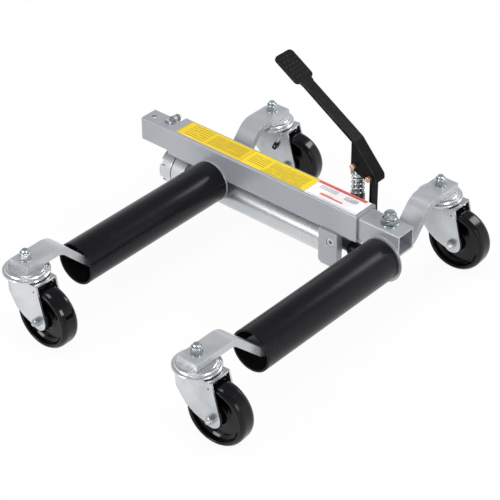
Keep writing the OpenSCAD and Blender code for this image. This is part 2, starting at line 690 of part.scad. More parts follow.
// Small lock lever on the back left fork: a wire on a pin, with a block-shaped grip
lock_x = 31;
lock_z = 109;
lock_pin_r = 1.5;
lock_wire_r = 1.3;
lock_y = -leg_y - 2.6;
lock_l = 23.5;
lock_lean = 24;
grip = [8, 5.5, 12];
module at_lock() at_swivel(2) translate([lock_x, 0, lock_z]) children();
module lock_lever() color(zinc) at_lock() {
    rod_y(lock_y, -leg_y + leg_t + 2, lock_pin_r);
    translate([0, lock_y, 0]) rotate([0, lock_lean, 0]) {
        sphere(lock_pin_r + 0.6);
        translate([0, 0, -lock_l]) cylinder(h = lock_l, r = lock_wire_r);
    }
}
module lock_grip() color(pedal_black) at_lock() translate([0, lock_y, 0]) rotate([0, lock_lean, 0])
    difference() {
        translate([-grip[0]/2, -grip[1]/2 - 1, -lock_l - grip[2] + 5]) cube(grip);
        translate([0, 0, -lock_l - snug]) cylinder(h = lock_l, r = lock_wire_r + snug);
    }

sleeve();
left_flange();
left_axle();
left_front_bar();
left_back_bar();
left_races();
left_kingpins();
stub_bolt();
yellow_label();
white_label();
ram_barrel();
ram_end_cap();
ram_gland();
pump_block();
pump_barrel();
pivot_post();
pivot_pin();
inner_tube();
right_flange();
right_axle();
right_front_bar();
right_back_bar();
right_races();
right_kingpins();
left_balls();
right_balls();
arm_bolt();
arm_nuts();
ram_rod();
ram_piston();
piston_seals();
rod_collar();
rod_bracket();
left_roller();
left_bushes();
right_roller();
right_bushes();
foot_pedal();
plunger_pin();
plunger();
return_spring();
release_valve();
front_left_fork();
front_left_axle();
front_left_wheel();
front_left_hub();
front_right_fork();
front_right_axle();
front_right_wheel();
front_right_hub();
back_left_fork();
back_left_axle();
back_left_wheel();
back_left_hub();
back_right_fork();
back_right_axle();
back_right_wheel();
back_right_hub();
lock_lever();
lock_grip();
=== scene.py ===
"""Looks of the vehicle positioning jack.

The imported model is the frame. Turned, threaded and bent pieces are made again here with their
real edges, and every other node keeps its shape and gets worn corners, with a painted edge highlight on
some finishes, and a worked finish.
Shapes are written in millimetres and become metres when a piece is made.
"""

from __future__ import annotations

import json
import logging
import math
from dataclasses import dataclass
from enum import Enum
from typing import Iterable, Sequence

import bmesh
import bpy
from mathutils import Matrix, Vector

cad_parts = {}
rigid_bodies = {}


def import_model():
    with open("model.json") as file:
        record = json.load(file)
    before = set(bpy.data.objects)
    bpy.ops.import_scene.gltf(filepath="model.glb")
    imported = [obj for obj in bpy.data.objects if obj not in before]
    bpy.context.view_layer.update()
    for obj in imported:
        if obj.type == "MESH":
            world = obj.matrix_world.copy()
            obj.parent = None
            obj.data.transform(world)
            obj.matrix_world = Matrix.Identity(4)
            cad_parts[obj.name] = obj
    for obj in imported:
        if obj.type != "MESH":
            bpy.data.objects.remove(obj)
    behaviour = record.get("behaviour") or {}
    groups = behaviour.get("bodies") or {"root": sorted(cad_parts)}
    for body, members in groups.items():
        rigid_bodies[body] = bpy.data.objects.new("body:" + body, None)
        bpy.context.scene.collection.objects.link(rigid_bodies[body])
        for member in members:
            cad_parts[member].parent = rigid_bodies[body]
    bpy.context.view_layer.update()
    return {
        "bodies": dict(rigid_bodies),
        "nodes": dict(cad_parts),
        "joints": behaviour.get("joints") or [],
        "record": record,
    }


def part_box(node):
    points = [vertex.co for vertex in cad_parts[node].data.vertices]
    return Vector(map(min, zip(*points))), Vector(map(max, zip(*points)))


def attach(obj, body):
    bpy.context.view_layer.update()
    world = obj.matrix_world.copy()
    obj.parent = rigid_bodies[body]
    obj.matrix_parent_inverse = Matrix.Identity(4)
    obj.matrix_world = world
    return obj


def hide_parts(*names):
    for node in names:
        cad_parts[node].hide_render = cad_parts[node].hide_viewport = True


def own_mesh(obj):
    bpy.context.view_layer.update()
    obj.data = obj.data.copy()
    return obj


LOG = logging.getLogger("positioning_jack")

MM = 0.001
PLAY = 0.05
Colour = tuple[float, float, float]
Place = tuple[float, float, float]
Profile = list[tuple[float, float]]
Corner = tuple[Vector, Vector]


def shade(code: str) -> Colour:
    """Turns a screen colour into the linear colour that shaders use.

    Args:
        code: Six hexadecimal digits.

    Returns:
        The linear red, green and blue.
    """
    parts = [int(code[i:i + 2], 16) / 255 for i in (0, 2, 4)]
    linear = [p / 12.92 if p <= 0.04045 else ((p + 0.055) / 1.055) ** 2.4 for p in parts]
    return linear[0], linear[1], linear[2]


class Slot(Enum):
    """Material slots of the record, one named with each piece made here."""

    BEAM = "beam_grey"
    BAR = "bar_grey"
    RAM = "ram_zinc"
    STEEL = "steel"
    CASTER = "caster_zinc"
    BOLT = "bolt_zinc"
    ROLLER = "roller_black"
    WHEEL = "wheel_black"
    PEDAL = "pedal_black"
    GRIP = "grip_black"
    PIN = "pin_copper"
    SPRING = "spring_steel"
    LEVER = "lever_steel"
    PUMP = "pump_grey"
    BUSH = "bush_white"
    SEAL = "seal_brown"
    YELLOW = "label_yellow"
    WHITE = "label_white"


class Side(Enum):
    """The two roller arms: the left one is fixed to the sleeve, the right one slides."""

    LEFT = "left"
    RIGHT = "right"


class Axis(Enum):
    """Directions that a turned piece can point along."""

    X = (1.0, 0.0, 0.0)
    Y = (0.0, 1.0, 0.0)
    Z = (0.0, 0.0, 1.0)


# Shader wiring


class Wiring:
    """Adds shader nodes to one tree and joins them."""

    def __init__(self, tree: bpy.types.NodeTree) -> None:
        """Keeps the tree that nodes are added to."""
        self.tree = tree

    def add(self, kind: str, **settings: object) -> bpy.types.Node:
        """Adds a node and sets its properties.

        Args:
            kind: Blender's name for the node type.
            settings: Properties of the node.

        Returns:
            The new node.
        """
        node = self.tree.nodes.new(kind)
        for key, value in settings.items():
            setattr(node, key, value)
        return node

    def put(self, socket: bpy.types.NodeSocket, value: object) -> None:
        """Joins an output to a socket, or sets the socket to a plain value.

        Args:
            socket: The input to feed.
            value: An output socket, a number or a tuple.
        """
        if isinstance(value, bpy.types.NodeSocket):
            self.tree.links.new(value, socket)
        elif isinstance(value, tuple) and socket.type == "RGBA":
            socket.default_value = (*value, 1.0)
        else:
            socket.default_value = value

    def math(self, operation: str, *values: object, clamp: bool = False) -> bpy.types.NodeSocket:
        """Does arithmetic on numbers and outputs.

        Args:
            operation: The Math node's operation.
            values: Its inputs in order.
            clamp: Whether the result is kept between 0 and 1.

        Returns:
            The result's socket.
        """
        node = self.add("ShaderNodeMath", operation=operation, use_clamp=clamp)
        for socket, value in zip(node.inputs, values):
            self.put(socket, value)
        return node.outputs[0]

    def blend(self, factor: object, first: object, second: object) -> bpy.types.NodeSocket:
        """Mixes two colours.

        Args:
            factor: 0 gives the first colour, 1 the second.
            first: A colour or an output.
            second: A colour or an output.

        Returns:
            The mixed colour's socket.
        """
        node = self.add("ShaderNodeMix", data_type="RGBA", clamp_factor=True)
        self.put(node.inputs[0], factor)
        self.put(node.inputs[6], first)
        self.put(node.inputs[7], second)
        return node.outputs[2]

    def ramp(self, value: object, low: float, high: float, to_low: float = 0.0,
             to_high: float = 1.0) -> bpy.types.NodeSocket:
        """Spreads a range of values smoothly over another one.

        Args:
            value: The value to spread.
            low: What becomes to_low.
            high: What becomes to_high.
            to_low: Low end of the result.
            to_high: High end of the result.

        Returns:
            The spread value's socket.
        """
        node = self.add("ShaderNodeMapRange", interpolation_type="SMOOTHSTEP", clamp=True)
        for socket, number in zip(node.inputs, (value, low, high, to_low, to_high)):
            self.put(socket, number)
        return node.outputs[0]

    def group(self, group: bpy.types.NodeTree, **values: object) -> bpy.types.Node:
        """Places a node group and fills its named inputs.

        Args:
            group: The shared effect.
            values: Inputs by name, with underscores for spaces.

        Returns:
            The group's node.
        """
        node = self.add("ShaderNodeGroup")
        node.node_tree = group
        for key, value in values.items():
            self.put(node.inputs[key.replace("_", " ")], value)
        return node


@dataclass(frozen=True)
class Socket:
    """One input of a shared effect."""

    name: str
    kind: str = "NodeSocketFloat"
    value: object = 0.0


class Effect:
    """A shared effect: a node group that is built once and placed in many finishes."""

    name = "effect"
    inputs: tuple[Socket, ...] = ()
    outputs: tuple[Socket, ...] = (Socket("Mask"),)

    def tree(self) -> bpy.types.NodeTree:
        """Returns the group, and builds it the first time."""
        found = bpy.data.node_groups.get(self.name)
        if found:
            return found
        tree = bpy.data.node_groups.new(self.name, "ShaderNodeTree")
        for socket in self.inputs:
            made = tree.interface.new_socket(
                name=socket.name, in_out="INPUT", socket_type=socket.kind)
            made.default_value = socket.value
        for socket in self.outputs:
            tree.interface.new_socket(name=socket.name, in_out="OUTPUT", socket_type=socket.kind)
        wiring = Wiring(tree)
        source = wiring.add("NodeGroupInput")
        sink = wiring.add("NodeGroupOutput")
        self.wire(wiring, source.outputs, sink.inputs)
        return tree

    def wire(self, wiring: Wiring, source: bpy.types.NodeOutputs, sink: bpy.types.NodeInputs) -> None:
        """Joins the group's inputs to its outputs.

        Args:
            wiring: Where nodes are added.
            source: The group's inputs, as outputs of its first node.
            sink: The group's outputs, as inputs of its last node.
        """
        raise NotImplementedError


class Grain(Effect):
    """Noise at one size, stretched along any axis."""

    name = "Grain"
    inputs = (Socket("Scale", value=100.0), Socket("Stretch", "NodeSocketVector", (1.0, 1.0, 1.0)),
              Socket("Detail", value=3.0), Socket("Contrast", value=1.0))
    outputs = (Socket("Value"),)

    def wire(self, wiring: Wiring, source: bpy.types.NodeOutputs, sink: bpy.types.NodeInputs) -> None:
        """Reads noise from the object's own coordinates and sharpens it about its middle."""
        place = wiring.add("ShaderNodeTexCoord").outputs["Object"]
        stretched = wiring.add("ShaderNodeVectorMath", operation="MULTIPLY")
        wiring.put(stretched.inputs[0], place)
        wiring.put(stretched.inputs[1], source["Stretch"])
        noise = wiring.add("ShaderNodeTexNoise", noise_dimensions="3D")
        wiring.put(noise.inputs["Vector"], stretched.outputs[0])
        wiring.put(noise.inputs["Scale"], source["Scale"])
        wiring.put(noise.inputs["Detail"], source["Detail"])
        centred = wiring.math("SUBTRACT", noise.outputs[0], 0.5)
        scaled = wiring.math("MULTIPLY", centred, source["Contrast"])
        wiring.put(sink["Value"], wiring.math("ADD", scaled, 0.5, clamp=True))


class WornAndHighlitEdges(Effect):
    """Patchy mask along the corners, for a coat rubbed thin and for a painted edge highlight."""

    name = "Worn and highlit edges"
    inputs = (Socket("Width", value=0.001), Socket("Amount", value=0.5), Socket("Patches", value=60.0))

    def wire(self, wiring: Wiring, source: bpy.types.NodeOutputs, sink: bpy.types.NodeInputs) -> None:
        """Compares a rounded normal with the true one, and breaks the result into patches."""
        rounded = wiring.add("ShaderNodeBevel", samples=4)
        wiring.put(rounded.inputs["Radius"], source["Width"])
        true = wiring.add("ShaderNodeNewGeometry").outputs["Normal"]
        dot = wiring.add("ShaderNodeVectorMath", operation="DOT_PRODUCT")
        wiring.put(dot.inputs[0], rounded.outputs[0])
        wiring.put(dot.inputs[1], true)
        bend = wiring.math("SUBTRACT", 1.0, dot.outputs["Value"])
        near = wiring.ramp(bend, 0.01, 0.16)
        patch = wiring.group(Grain().tree(), Scale=source["Patches"], Detail=4.0, Contrast=1.6)
        broken = wiring.ramp(patch.outputs["Value"], 0.25, 0.7)
        mask = wiring.math("MULTIPLY", near, broken)
        wiring.put(sink["Mask"], wiring.math("MULTIPLY", mask, source["Amount"], clamp=True))


class Scratches(Effect):
    """Thin, sparse lines left by handling."""

    name = "Scratches"
    inputs = (Socket("Scale", value=60.0), Socket("Amount", value=0.4),
              Socket("Stretch", "NodeSocketVector", (1.0, 6.0, 1.0)))

    def wire(self, wiring: Wiring, source: bpy.types.NodeOutputs, sink: bpy.types.NodeInputs) -> None:
        """Takes the thin walls between stretched cells, and keeps a few of them."""
        place = wiring.add("ShaderNodeTexCoord").outputs["Object"]
        stretched = wiring.add("ShaderNodeVectorMath", operation="MULTIPLY")
        wiring.put(stretched.inputs[0], place)
        wiring.put(stretched.inputs[1], source["Stretch"])
        cells = wiring.add("ShaderNodeTexVoronoi", feature="DISTANCE_TO_EDGE", voronoi_dimensions="3D")
        wiring.put(cells.inputs["Vector"], stretched.outputs[0])
        wiring.put(cells.inputs["Scale"], source["Scale"])
        thin = wiring.ramp(cells.outputs["Distance"], 0.0, 0.018, 1.0, 0.0)
        patch = wiring.group(Grain().tree(), Scale=38.0, Detail=2.0, Contrast=1.8)
        few = wiring.ramp(patch.outputs["Value"], 0.6, 0.8)
        mask = wiring.math("MULTIPLY", thin, few)
        wiring.put(sink["Mask"], wiring.math("MULTIPLY", mask, source["Amount"], clamp=True))


class SettledDust(Effect):
    """Thin dust on faces that look upward."""

    name = "Settled dust"
    inputs = (Socket("Amount", value=0.2), Socket("Scale", value=30.0))

    def wire(self, wiring: Wiring, source: bpy.types.NodeOutputs, sink: bpy.types.NodeInputs) -> None:
        """Multiplies how far a face looks up by a cloudy pattern."""
        normal = wiring.add("ShaderNodeNewGeometry").outputs["Normal"]
        split = wiring.add("ShaderNodeSeparateXYZ")
        wiring.put(split.inputs[0], normal)
        upward = wiring.ramp(split.outputs["Z"], 0.3, 0.95)
        cloud = wiring.group(Grain().tree(), Scale=source["Scale"], Detail=5.0, Contrast=1.5)
        fine = wiring.group(Grain().tree(), Scale=1500.0, Detail=2.0, Contrast=1.8)
        mixed = wiring.math("MULTIPLY", cloud.outputs["Value"], fine.outputs["Value"])
        mask = wiring.math("MULTIPLY", upward, mixed)
        wiring.put(sink["Mask"], wiring.math("MULTIPLY", mask, source["Amount"], clamp=True))


class Specks(Effect):
    """Small round specks, such as grit in powder coat or spangle in zinc plate."""

    name = "Specks"
    inputs = (Socket("Scale", value=700.0), Socket("Size", value=0.25), Socket("Share", value=0.3))

    def wire(self, wiring: Wiring, source: bpy.types.NodeOutputs, sink: bpy.types.NodeInputs) -> None:
        """Draws a dot in some of the cells of a cell pattern."""
        place = wiring.add("ShaderNodeTexCoord").outputs["Object"]
        cells = wiring.add("ShaderNodeTexVoronoi", feature="F1", voronoi_dimensions="3D")
        wiring.put(cells.inputs["Vector"], place)
        wiring.put(cells.inputs["Scale"], source["Scale"])
        inner = wiring.math("MULTIPLY", source["Size"], 0.5)
        spread = wiring.add("ShaderNodeMapRange", interpolation_type="SMOOTHSTEP", clamp=True)
        wiring.put(spread.inputs[0], cells.outputs["Distance"])
        wiring.put(spread.inputs[1], inner)
        wiring.put(spread.inputs[2], source["Size"])
        wiring.put(spread.inputs[3], 1.0)
        wiring.put(spread.inputs[4], 0.0)
        pick = wiring.add("ShaderNodeSeparateColor")
        wiring.put(pick.inputs[0], cells.outputs["Color"])
        chosen = wiring.math("LESS_THAN", pick.outputs[0], source["Share"])
        wiring.put(sink["Mask"], wiring.math("MULTIPLY", spread.outputs[0], chosen))


# Finishes


@dataclass(frozen=True)
class Finish:
    """A coated, plated or moulded surface with its wear, and on some finishes a painted edge highlight.

    Lengths are metres and scales are per metre, in the object's own coordinates.
    """

    name: str
    colour: Colour
    drift: Colour
    metallic: float = 0.0
    roughness: float = 0.4
    roughness_drift: float = 0.08
    coat: float = 0.0
    coat_roughness: float = 0.12
    ior: float = 1.5
    specular: float = 0.5
    cloud: float = 16.0
    cloud_stretch: Place = (1.0, 1.0, 1.0)
    grain: float = 1100.0
    grain_stretch: Place = (1.0, 1.0, 1.0)
    grain_tint: float = 0.12
    grain_depth: float = 0.02
    ripple: float = 0.0
    speck_colour: Colour = (0.5, 0.5, 0.5)
    speck_share: float = 0.0
    speck_scale: float = 600.0
    # Edge colour, metal, amount and width: rubbed-thin coat on most finishes, and a painted edge highlight
    # on the zinc and the black powder coat. The colour also tints scratches.
    wear_and_highlight_colour: Colour = (0.5, 0.5, 0.5)
    worn_metal: float = 0.0
    edge_wear_and_highlight: float = 0.0
    wear_and_highlight_width: float = 0.0011
    scratches: float = 0.0
    dust: float = 0.12
    dust_colour: Colour = (0.42, 0.41, 0.39)

    def pattern(self, wiring: Wiring, base: bpy.types.NodeSocket) -> bpy.types.NodeSocket:
        """Lays artwork over the base colour. A plain finish has none.

        Args:
            wiring: The material's wiring.
            base: The colour under the artwork.

        Returns:
            The colour with the artwork.
        """
        return base

    def build(self) -> bpy.types.Material:
        """Makes the material, or returns it if it is already made.

        Returns:
            The finished material.
        """
        found = bpy.data.materials.get(self.name)
        if found:
            return found
        material = bpy.data.materials.new(self.name)
        material.use_nodes = True
        material.diffuse_color = (*self.colour, 1.0)
        wiring = Wiring(material.node_tree)
        shader = material.node_tree.nodes["Principled BSDF"]
        grain = Grain().tree()
        cloud = wiring.group(grain, Scale=self.cloud, Stretch=self.cloud_stretch, Detail=5.0, Contrast=1.5)
        fine = wiring.group(grain, Scale=self.grain, Stretch=self.grain_stretch, Detail=3.0, Contrast=1.3)
        cloudy = wiring.ramp(cloud.outputs["Value"], 0.2, 0.8)
        base = wiring.blend(cloudy, self.colour, self.drift)
        tint = wiring.math("MULTIPLY", fine.outputs["Value"], self.grain_tint)
        base = wiring.blend(tint, base, self.drift)
        base = self.pattern(wiring, base)
        smoothest = self.roughness - self.roughness_drift / 2
        rough = wiring.math("MULTIPLY_ADD", cloudy, self.roughness_drift, smoothest)
        height = wiring.math("MULTIPLY", fine.outputs["Value"], self.grain_depth)
        metal: object = self.metallic
        if self.ripple:
            wave = wiring.group(grain, Scale=self.grain / 6, Detail=1.0, Contrast=1.2)
            lift = wiring.math("MULTIPLY", wave.outputs["Value"], self.ripple)
            height = wiring.math("ADD", height, lift)
        if self.speck_share:
            specks = wiring.group(Specks().tree(), Scale=self.speck_scale, Size=0.3, Share=self.speck_share)
            base = wiring.blend(wiring.math("MULTIPLY", specks.outputs[0], 0.8), base, self.speck_colour)
            height = wiring.math("MULTIPLY_ADD", specks.outputs[0], self.grain_depth * 2, height)
        if self.scratches:
            lines = wiring.group(Scratches().tree(), Amount=self.scratches)
            base = wiring.blend(lines.outputs[0], base, self.wear_and_highlight_colour)
            rough = wiring.math("MULTIPLY_ADD", lines.outputs[0], 0.25, rough)
            height = wiring.math("MULTIPLY_ADD", lines.outputs[0], -self.grain_depth * 2, height)
        # Edge mask: a lighter colour along corners, which is real wear on most finishes and a painted edge
        # highlight on the zinc and the black powder coat.
        if self.edge_wear_and_highlight:
            edges = wiring.group(WornAndHighlitEdges().tree(), Width=self.wear_and_highlight_width, Amount=self.edge_wear_and_highlight)
            base = wiring.blend(edges.outputs[0], base, self.wear_and_highlight_colour)
            rough = wiring.math("MULTIPLY_ADD", edges.outputs[0], -0.1, rough)
            if self.worn_metal != self.metallic:
                change = self.worn_metal - self.metallic
                metal = wiring.math("MULTIPLY_ADD", edges.outputs[0], change, self.metallic, clamp=True)
        if self.dust:
            dusty = wiring.group(SettledDust().tree(), Amount=self.dust)
            base = wiring.blend(dusty.outputs[0], base, self.dust_colour)
            rough = wiring.math("MULTIPLY_ADD", dusty.outputs[0], 0.3, rough, clamp=True)
        bump = wiring.add("ShaderNodeBump")
        bump.inputs["Strength"].default_value = 0.5
        bump.inputs["Distance"].default_value = MM
        wiring.put(bump.inputs["Height"], height)
        wiring.put(shader.inputs["Base Color"], base)
        wiring.put(shader.inputs["Metallic"], metal)
        wiring.put(shader.inputs["Roughness"], rough)
        wiring.put(shader.inputs["Normal"], bump.outputs[0])
        shader.inputs["IOR"].default_value = self.ior
        shader.inputs["Specular IOR Level"].default_value = self.specular
        shader.inputs["Coat Weight"].default_value = self.coat
        shader.inputs["Coat Roughness"].default_value = self.coat_roughness
        return material


@dataclass(frozen=True)
class Block:
    """A printed bar, in shares of the panel's length and width, with optional fine lines."""

    u0: float
    u1: float
    v0: float
    v1: float
    colour: Colour
    lines: int = 0
    line_share: float = 0.4


@dataclass(frozen=True)
class PrintedFilm(Finish):
    """A label film with plain printed bars and rules, and no words."""

    low: tuple[float, float] = (0.0, 0.0)
    high: tuple[float, float] = (1.0, 1.0)
    blocks: tuple[Block, ...] = ()

    def inside(self, wiring: Wiring, value: bpy.types.NodeSocket, low: float, high: float,
               ) -> bpy.types.NodeSocket:
        """Returns a mask that is 1 where the value lies between low and high.

        Args:
            wiring: The material's wiring.
            value: The place along one side of the film.
            low: Where the bar starts.
            high: Where the bar ends.

        Returns:
            The mask's socket.
        """
        above = wiring.math("GREATER_THAN", value, low)
        below = wiring.math("LESS_THAN", value, high)
        return wiring.math("MULTIPLY", above, below)

    def pattern(self, wiring: Wiring, base: bpy.types.NodeSocket) -> bpy.types.NodeSocket:
        """Prints the bars over the film's colour.

        Args:
            wiring: The material's wiring.
            base: The film's colour.

        Returns:
            The printed colour.
        """
        place = wiring.add("ShaderNodeTexCoord").outputs["Object"]
        split = wiring.add("ShaderNodeSeparateXYZ")
        wiring.put(split.inputs[0], place)
        shares = []
        for axis in (0, 1):
            spread = wiring.add("ShaderNodeMapRange", clamp=False)
            wiring.put(spread.inputs[0], split.outputs[axis])
            spread.inputs[1].default_value = self.low[axis]
            spread.inputs[2].default_value = self.high[axis]
            shares.append(spread.outputs[0])
        ink = wiring.group(Grain().tree(), Scale=2600.0, Detail=2.0, Contrast=1.4)
        cover = wiring.ramp(ink.outputs["Value"], 0.1, 0.45, 0.72, 1.0)
        for block in self.blocks:
            mask = wiring.math("MULTIPLY", self.inside(wiring, shares[0], block.u0, block.u1),
                               self.inside(wiring, shares[1], block.v0, block.v1))
            if block.lines:
                step = wiring.math("MULTIPLY", shares[1], float(block.lines))
                rule = wiring.math("LESS_THAN", wiring.math("FRACT", step), block.line_share)
                gaps = wiring.group(Grain().tree(), Scale=150.0, Stretch=(0.4, 7.0, 1.0), Detail=1.0,
                                    Contrast=1.5)
                kept = wiring.math("LESS_THAN", gaps.outputs["Value"], 0.7)
                mask = wiring.math("MULTIPLY", mask, wiring.math("MULTIPLY", rule, kept))
            base = wiring.blend(wiring.math("MULTIPLY", mask, cover), base, block.colour)
        return base


@dataclass(frozen=True)
class Palette:
    """Every finish of the machine."""

    beam: Finish = Finish(
        "satin_grey_paint", shade("adafb4"), shade("9fa3a9"), metallic=0.35, roughness=0.36,
        roughness_drift=0.1, coat=0.25, coat_roughness=0.3, cloud=9.0, grain=1500.0, grain_tint=0.25,
        grain_depth=0.012, ripple=0.02, wear_and_highlight_colour=shade("e2e4e6"), worn_metal=0.6, edge_wear_and_highlight=0.7,
        wear_and_highlight_width=0.0014, scratches=0.25, dust=0.06)
    bar: Finish = Finish(
        "satin_grey_bar", shade("bcbec1"), shade("adb0b4"), metallic=0.45, roughness=0.32,
        roughness_drift=0.08, coat=0.1, coat_roughness=0.3, cloud=12.0, grain=1300.0, grain_tint=0.2,
        grain_stretch=(4.0, 1.0, 1.0), grain_depth=0.004, ripple=0.004, wear_and_highlight_colour=shade("e6e8ea"),
        worn_metal=0.6, edge_wear_and_highlight=0.8, scratches=0.25, dust=0.04)
    ram: Finish = Finish(
        "satin_zinc_ram", shade("d2d3d5"), shade("bfc2c4"), metallic=0.8, roughness=0.27,
        roughness_drift=0.1, cloud=14.0, cloud_stretch=(0.4, 1.0, 1.0), grain=900.0,
        grain_stretch=(0.06, 1.0, 1.0), grain_tint=0.2, grain_depth=0.003, wear_and_highlight_colour=shade("eceeef"),
        worn_metal=0.8, edge_wear_and_highlight=0.4, scratches=0.2, dust=0.04)
    steel: Finish = Finish(
        "ground_steel", shade("9a9da1"), shade("84888c"), metallic=0.95, roughness=0.28,
        roughness_drift=0.12, cloud=30.0, grain=1600.0, grain_stretch=(1.0, 0.2, 1.0), grain_tint=0.4,
        grain_depth=0.012, wear_and_highlight_colour=shade("c6c8ca"), worn_metal=0.95, edge_wear_and_highlight=0.4, dust=0.08)
    # Zinc: the near-white edge colour paints a highlight along the edges, and the darker cloudy drift is
    # partly the plating's own mottle and partly painted reflection.
    zinc: Finish = Finish(
        "bright_zinc", shade("d9dbdd"), shade("b2b6b9"), metallic=0.95, roughness=0.27,
        roughness_drift=0.06, cloud=11.0, grain=1400.0, grain_tint=0.1, grain_depth=0.003,
        wear_and_highlight_colour=shade("f6f7f7"), worn_metal=0.95, edge_wear_and_highlight=0.12, wear_and_highlight_width=0.0006, scratches=0.1,
        dust=0.01)
    bolt: Finish = Finish(
        "polished_zinc_bolt", shade("d8dadb"), shade("a3adb1"), metallic=1.0, roughness=0.17,
        roughness_drift=0.12, cloud=60.0, grain=2200.0, grain_tint=0.3, grain_depth=0.008,
        wear_and_highlight_colour=shade("f6f7f7"), worn_metal=1.0, edge_wear_and_highlight=0.5, wear_and_highlight_width=0.0007, dust=0.03)
    roller: Finish = Finish(
        "satin_black_roller", shade("0c0c10"), shade("121218"), roughness=0.26, roughness_drift=0.08,
        specular=0.19, cloud=10.0, cloud_stretch=(1.0, 0.35, 1.0), grain=1200.0,
        grain_stretch=(1.0, 0.12, 1.0), grain_tint=0.5, grain_depth=0.015, ripple=0.02,
        speck_share=0.05, speck_colour=shade("34353c"), wear_and_highlight_colour=shade("5d5e66"), edge_wear_and_highlight=0.6,
        wear_and_highlight_width=0.0009, scratches=0.18, dust=0.03, dust_colour=shade("5c5b59"))
    bore: Finish = Finish(
        "roller_bore", shade("0b0b0d"), shade("101013"), roughness=0.6, specular=0.15, cloud=20.0,
        grain=900.0, grain_depth=0.03, dust=0.02, dust_colour=shade("33322f"))
    wheel: Finish = Finish(
        "glossy_black_wheel", shade("050507"), shade("09090d"), roughness=0.13, roughness_drift=0.06,
        specular=0.26, cloud=22.0, grain=1500.0, grain_tint=0.4, grain_depth=0.006, ripple=0.02,
        wear_and_highlight_colour=shade("2c2c33"), edge_wear_and_highlight=0.4, wear_and_highlight_width=0.0008, scratches=0.18, dust=0.03,
        dust_colour=shade("45443f"))
    # Black powder coat: the grey edge colour paints thin highlight lines along the edges.
    pedal: Finish = Finish(
        "black_powder_coat", shade("070709"), shade("0c0c0e"), roughness=0.38, roughness_drift=0.12,
        specular=0.1, cloud=26.0, grain=2100.0, grain_tint=0.5, grain_depth=0.04,
        ripple=0.03, speck_share=0.04, speck_scale=240.0, speck_colour=shade("34322d"),
        wear_and_highlight_colour=shade("77787d"), edge_wear_and_highlight=0.8, wear_and_highlight_width=0.0011, scratches=0.2, dust=0.015,
        dust_colour=shade("55534e"))
    grip: Finish = Finish(
        "black_moulded_grip", shade("0f0f11"), shade("17171a"), roughness=0.5, specular=0.3, cloud=80.0,
        grain=3000.0, grain_tint=0.4, grain_depth=0.04, wear_and_highlight_colour=shade("3a3a3d"), edge_wear_and_highlight=0.4,
        wear_and_highlight_width=0.0005, dust=0.04)
    copper: Finish = Finish(
        "copper_tinted_plate", shade("e0bda6"), shade("bf9079"), metallic=0.8, roughness=0.28,
        roughness_drift=0.16, cloud=120.0, grain=2400.0, grain_tint=0.4, grain_depth=0.012,
        wear_and_highlight_colour=shade("f2e2d6"), worn_metal=0.8, edge_wear_and_highlight=0.6, wear_and_highlight_width=0.0006, dust=0.03)
    spring: Finish = Finish(
        "bright_spring_wire", shade("dfe1e2"), shade("aeb2b6"), metallic=1.0, roughness=0.2,
        roughness_drift=0.14, cloud=150.0, grain=2600.0, grain_tint=0.4, grain_depth=0.008, dust=0.03)
    pump: Finish = Finish(
        "dark_grey_paint", shade("3c3e42"), shade("2e3034"), metallic=0.3, roughness=0.3,
        roughness_drift=0.14, coat=0.3, coat_roughness=0.2, cloud=50.0, grain=1800.0, grain_tint=0.4,
        grain_depth=0.02, wear_and_highlight_colour=shade("8d9094"), worn_metal=0.8, edge_wear_and_highlight=0.7, dust=0.05)
    nylon: Finish = Finish(
        "nylon_bush", shade("d6d3c8"), shade("c3bfb1"), roughness=0.45, cloud=40.0, grain=1500.0,
        grain_tint=0.3, grain_depth=0.02, wear_and_highlight_colour=shade("eceae2"), edge_wear_and_highlight=0.3, dust=0.1)
    seal: Finish = Finish(
        "seal_rubber", shade("33241e"), shade("3f2f28"), roughness=0.6, cloud=60.0, grain=1800.0,
        grain_depth=0.03, dust=0.05)
    stud: Finish = Finish(
        "tread_stud", shade("121214"), shade("1d1d20"), roughness=0.34, specular=0.4, cloud=90.0,
        grain=2600.0, grain_tint=0.5, grain_depth=0.03, wear_and_highlight_colour=shade("85847f"), edge_wear_and_highlight=0.9,
        wear_and_highlight_width=0.0008, dust=0.04)


def film_box(node: str) -> dict[str, tuple[float, float]]:
    """Returns the low and high corner of a label node, as the film's own sides.

    Args:
        node: The label's node.

    Returns:
        The two corners in x and y.
    """
    low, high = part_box(node)
    return {"low": (low.x, low.y), "high": (high.x, high.y)}


def yellow_film() -> PrintedFilm:
    """Returns the golden film with amber rules in two halves."""
    amber = shade("7e6420")
    pale = shade("f8e58a")
    rules = (
        Block(0.50, 0.507, 0.0, 1.0, shade("d0a834")),
        Block(0.507, 1.0, 0.0, 1.0, shade("f0d212")),
        Block(0.04, 0.20, 0.10, 0.90, amber, lines=7, line_share=0.24),
        Block(0.22, 0.48, 0.12, 0.86, amber, lines=11, line_share=0.34),
        Block(0.05, 0.12, 0.04, 0.09, pale),
        Block(0.53, 0.66, 0.20, 0.86, amber, lines=8, line_share=0.26),
        Block(0.68, 0.96, 0.10, 0.84, amber, lines=11, line_share=0.34),
        Block(0.66, 0.97, 0.04, 0.07, amber))
    return PrintedFilm(
        "yellow_label_film", shade("edcd0c"), shade("e5c208"), roughness=0.38, roughness_drift=0.1,
        coat=0.1, coat_roughness=0.25, specular=0.3,
        cloud=14.0, grain=1400.0, grain_tint=0.3, grain_depth=0.008,
        wear_and_highlight_colour=shade("f6e3a0"), edge_wear_and_highlight=0.4, wear_and_highlight_width=0.0007, scratches=0.2, dust=0.08,
        blocks=rules, **film_box("yellow_label"))


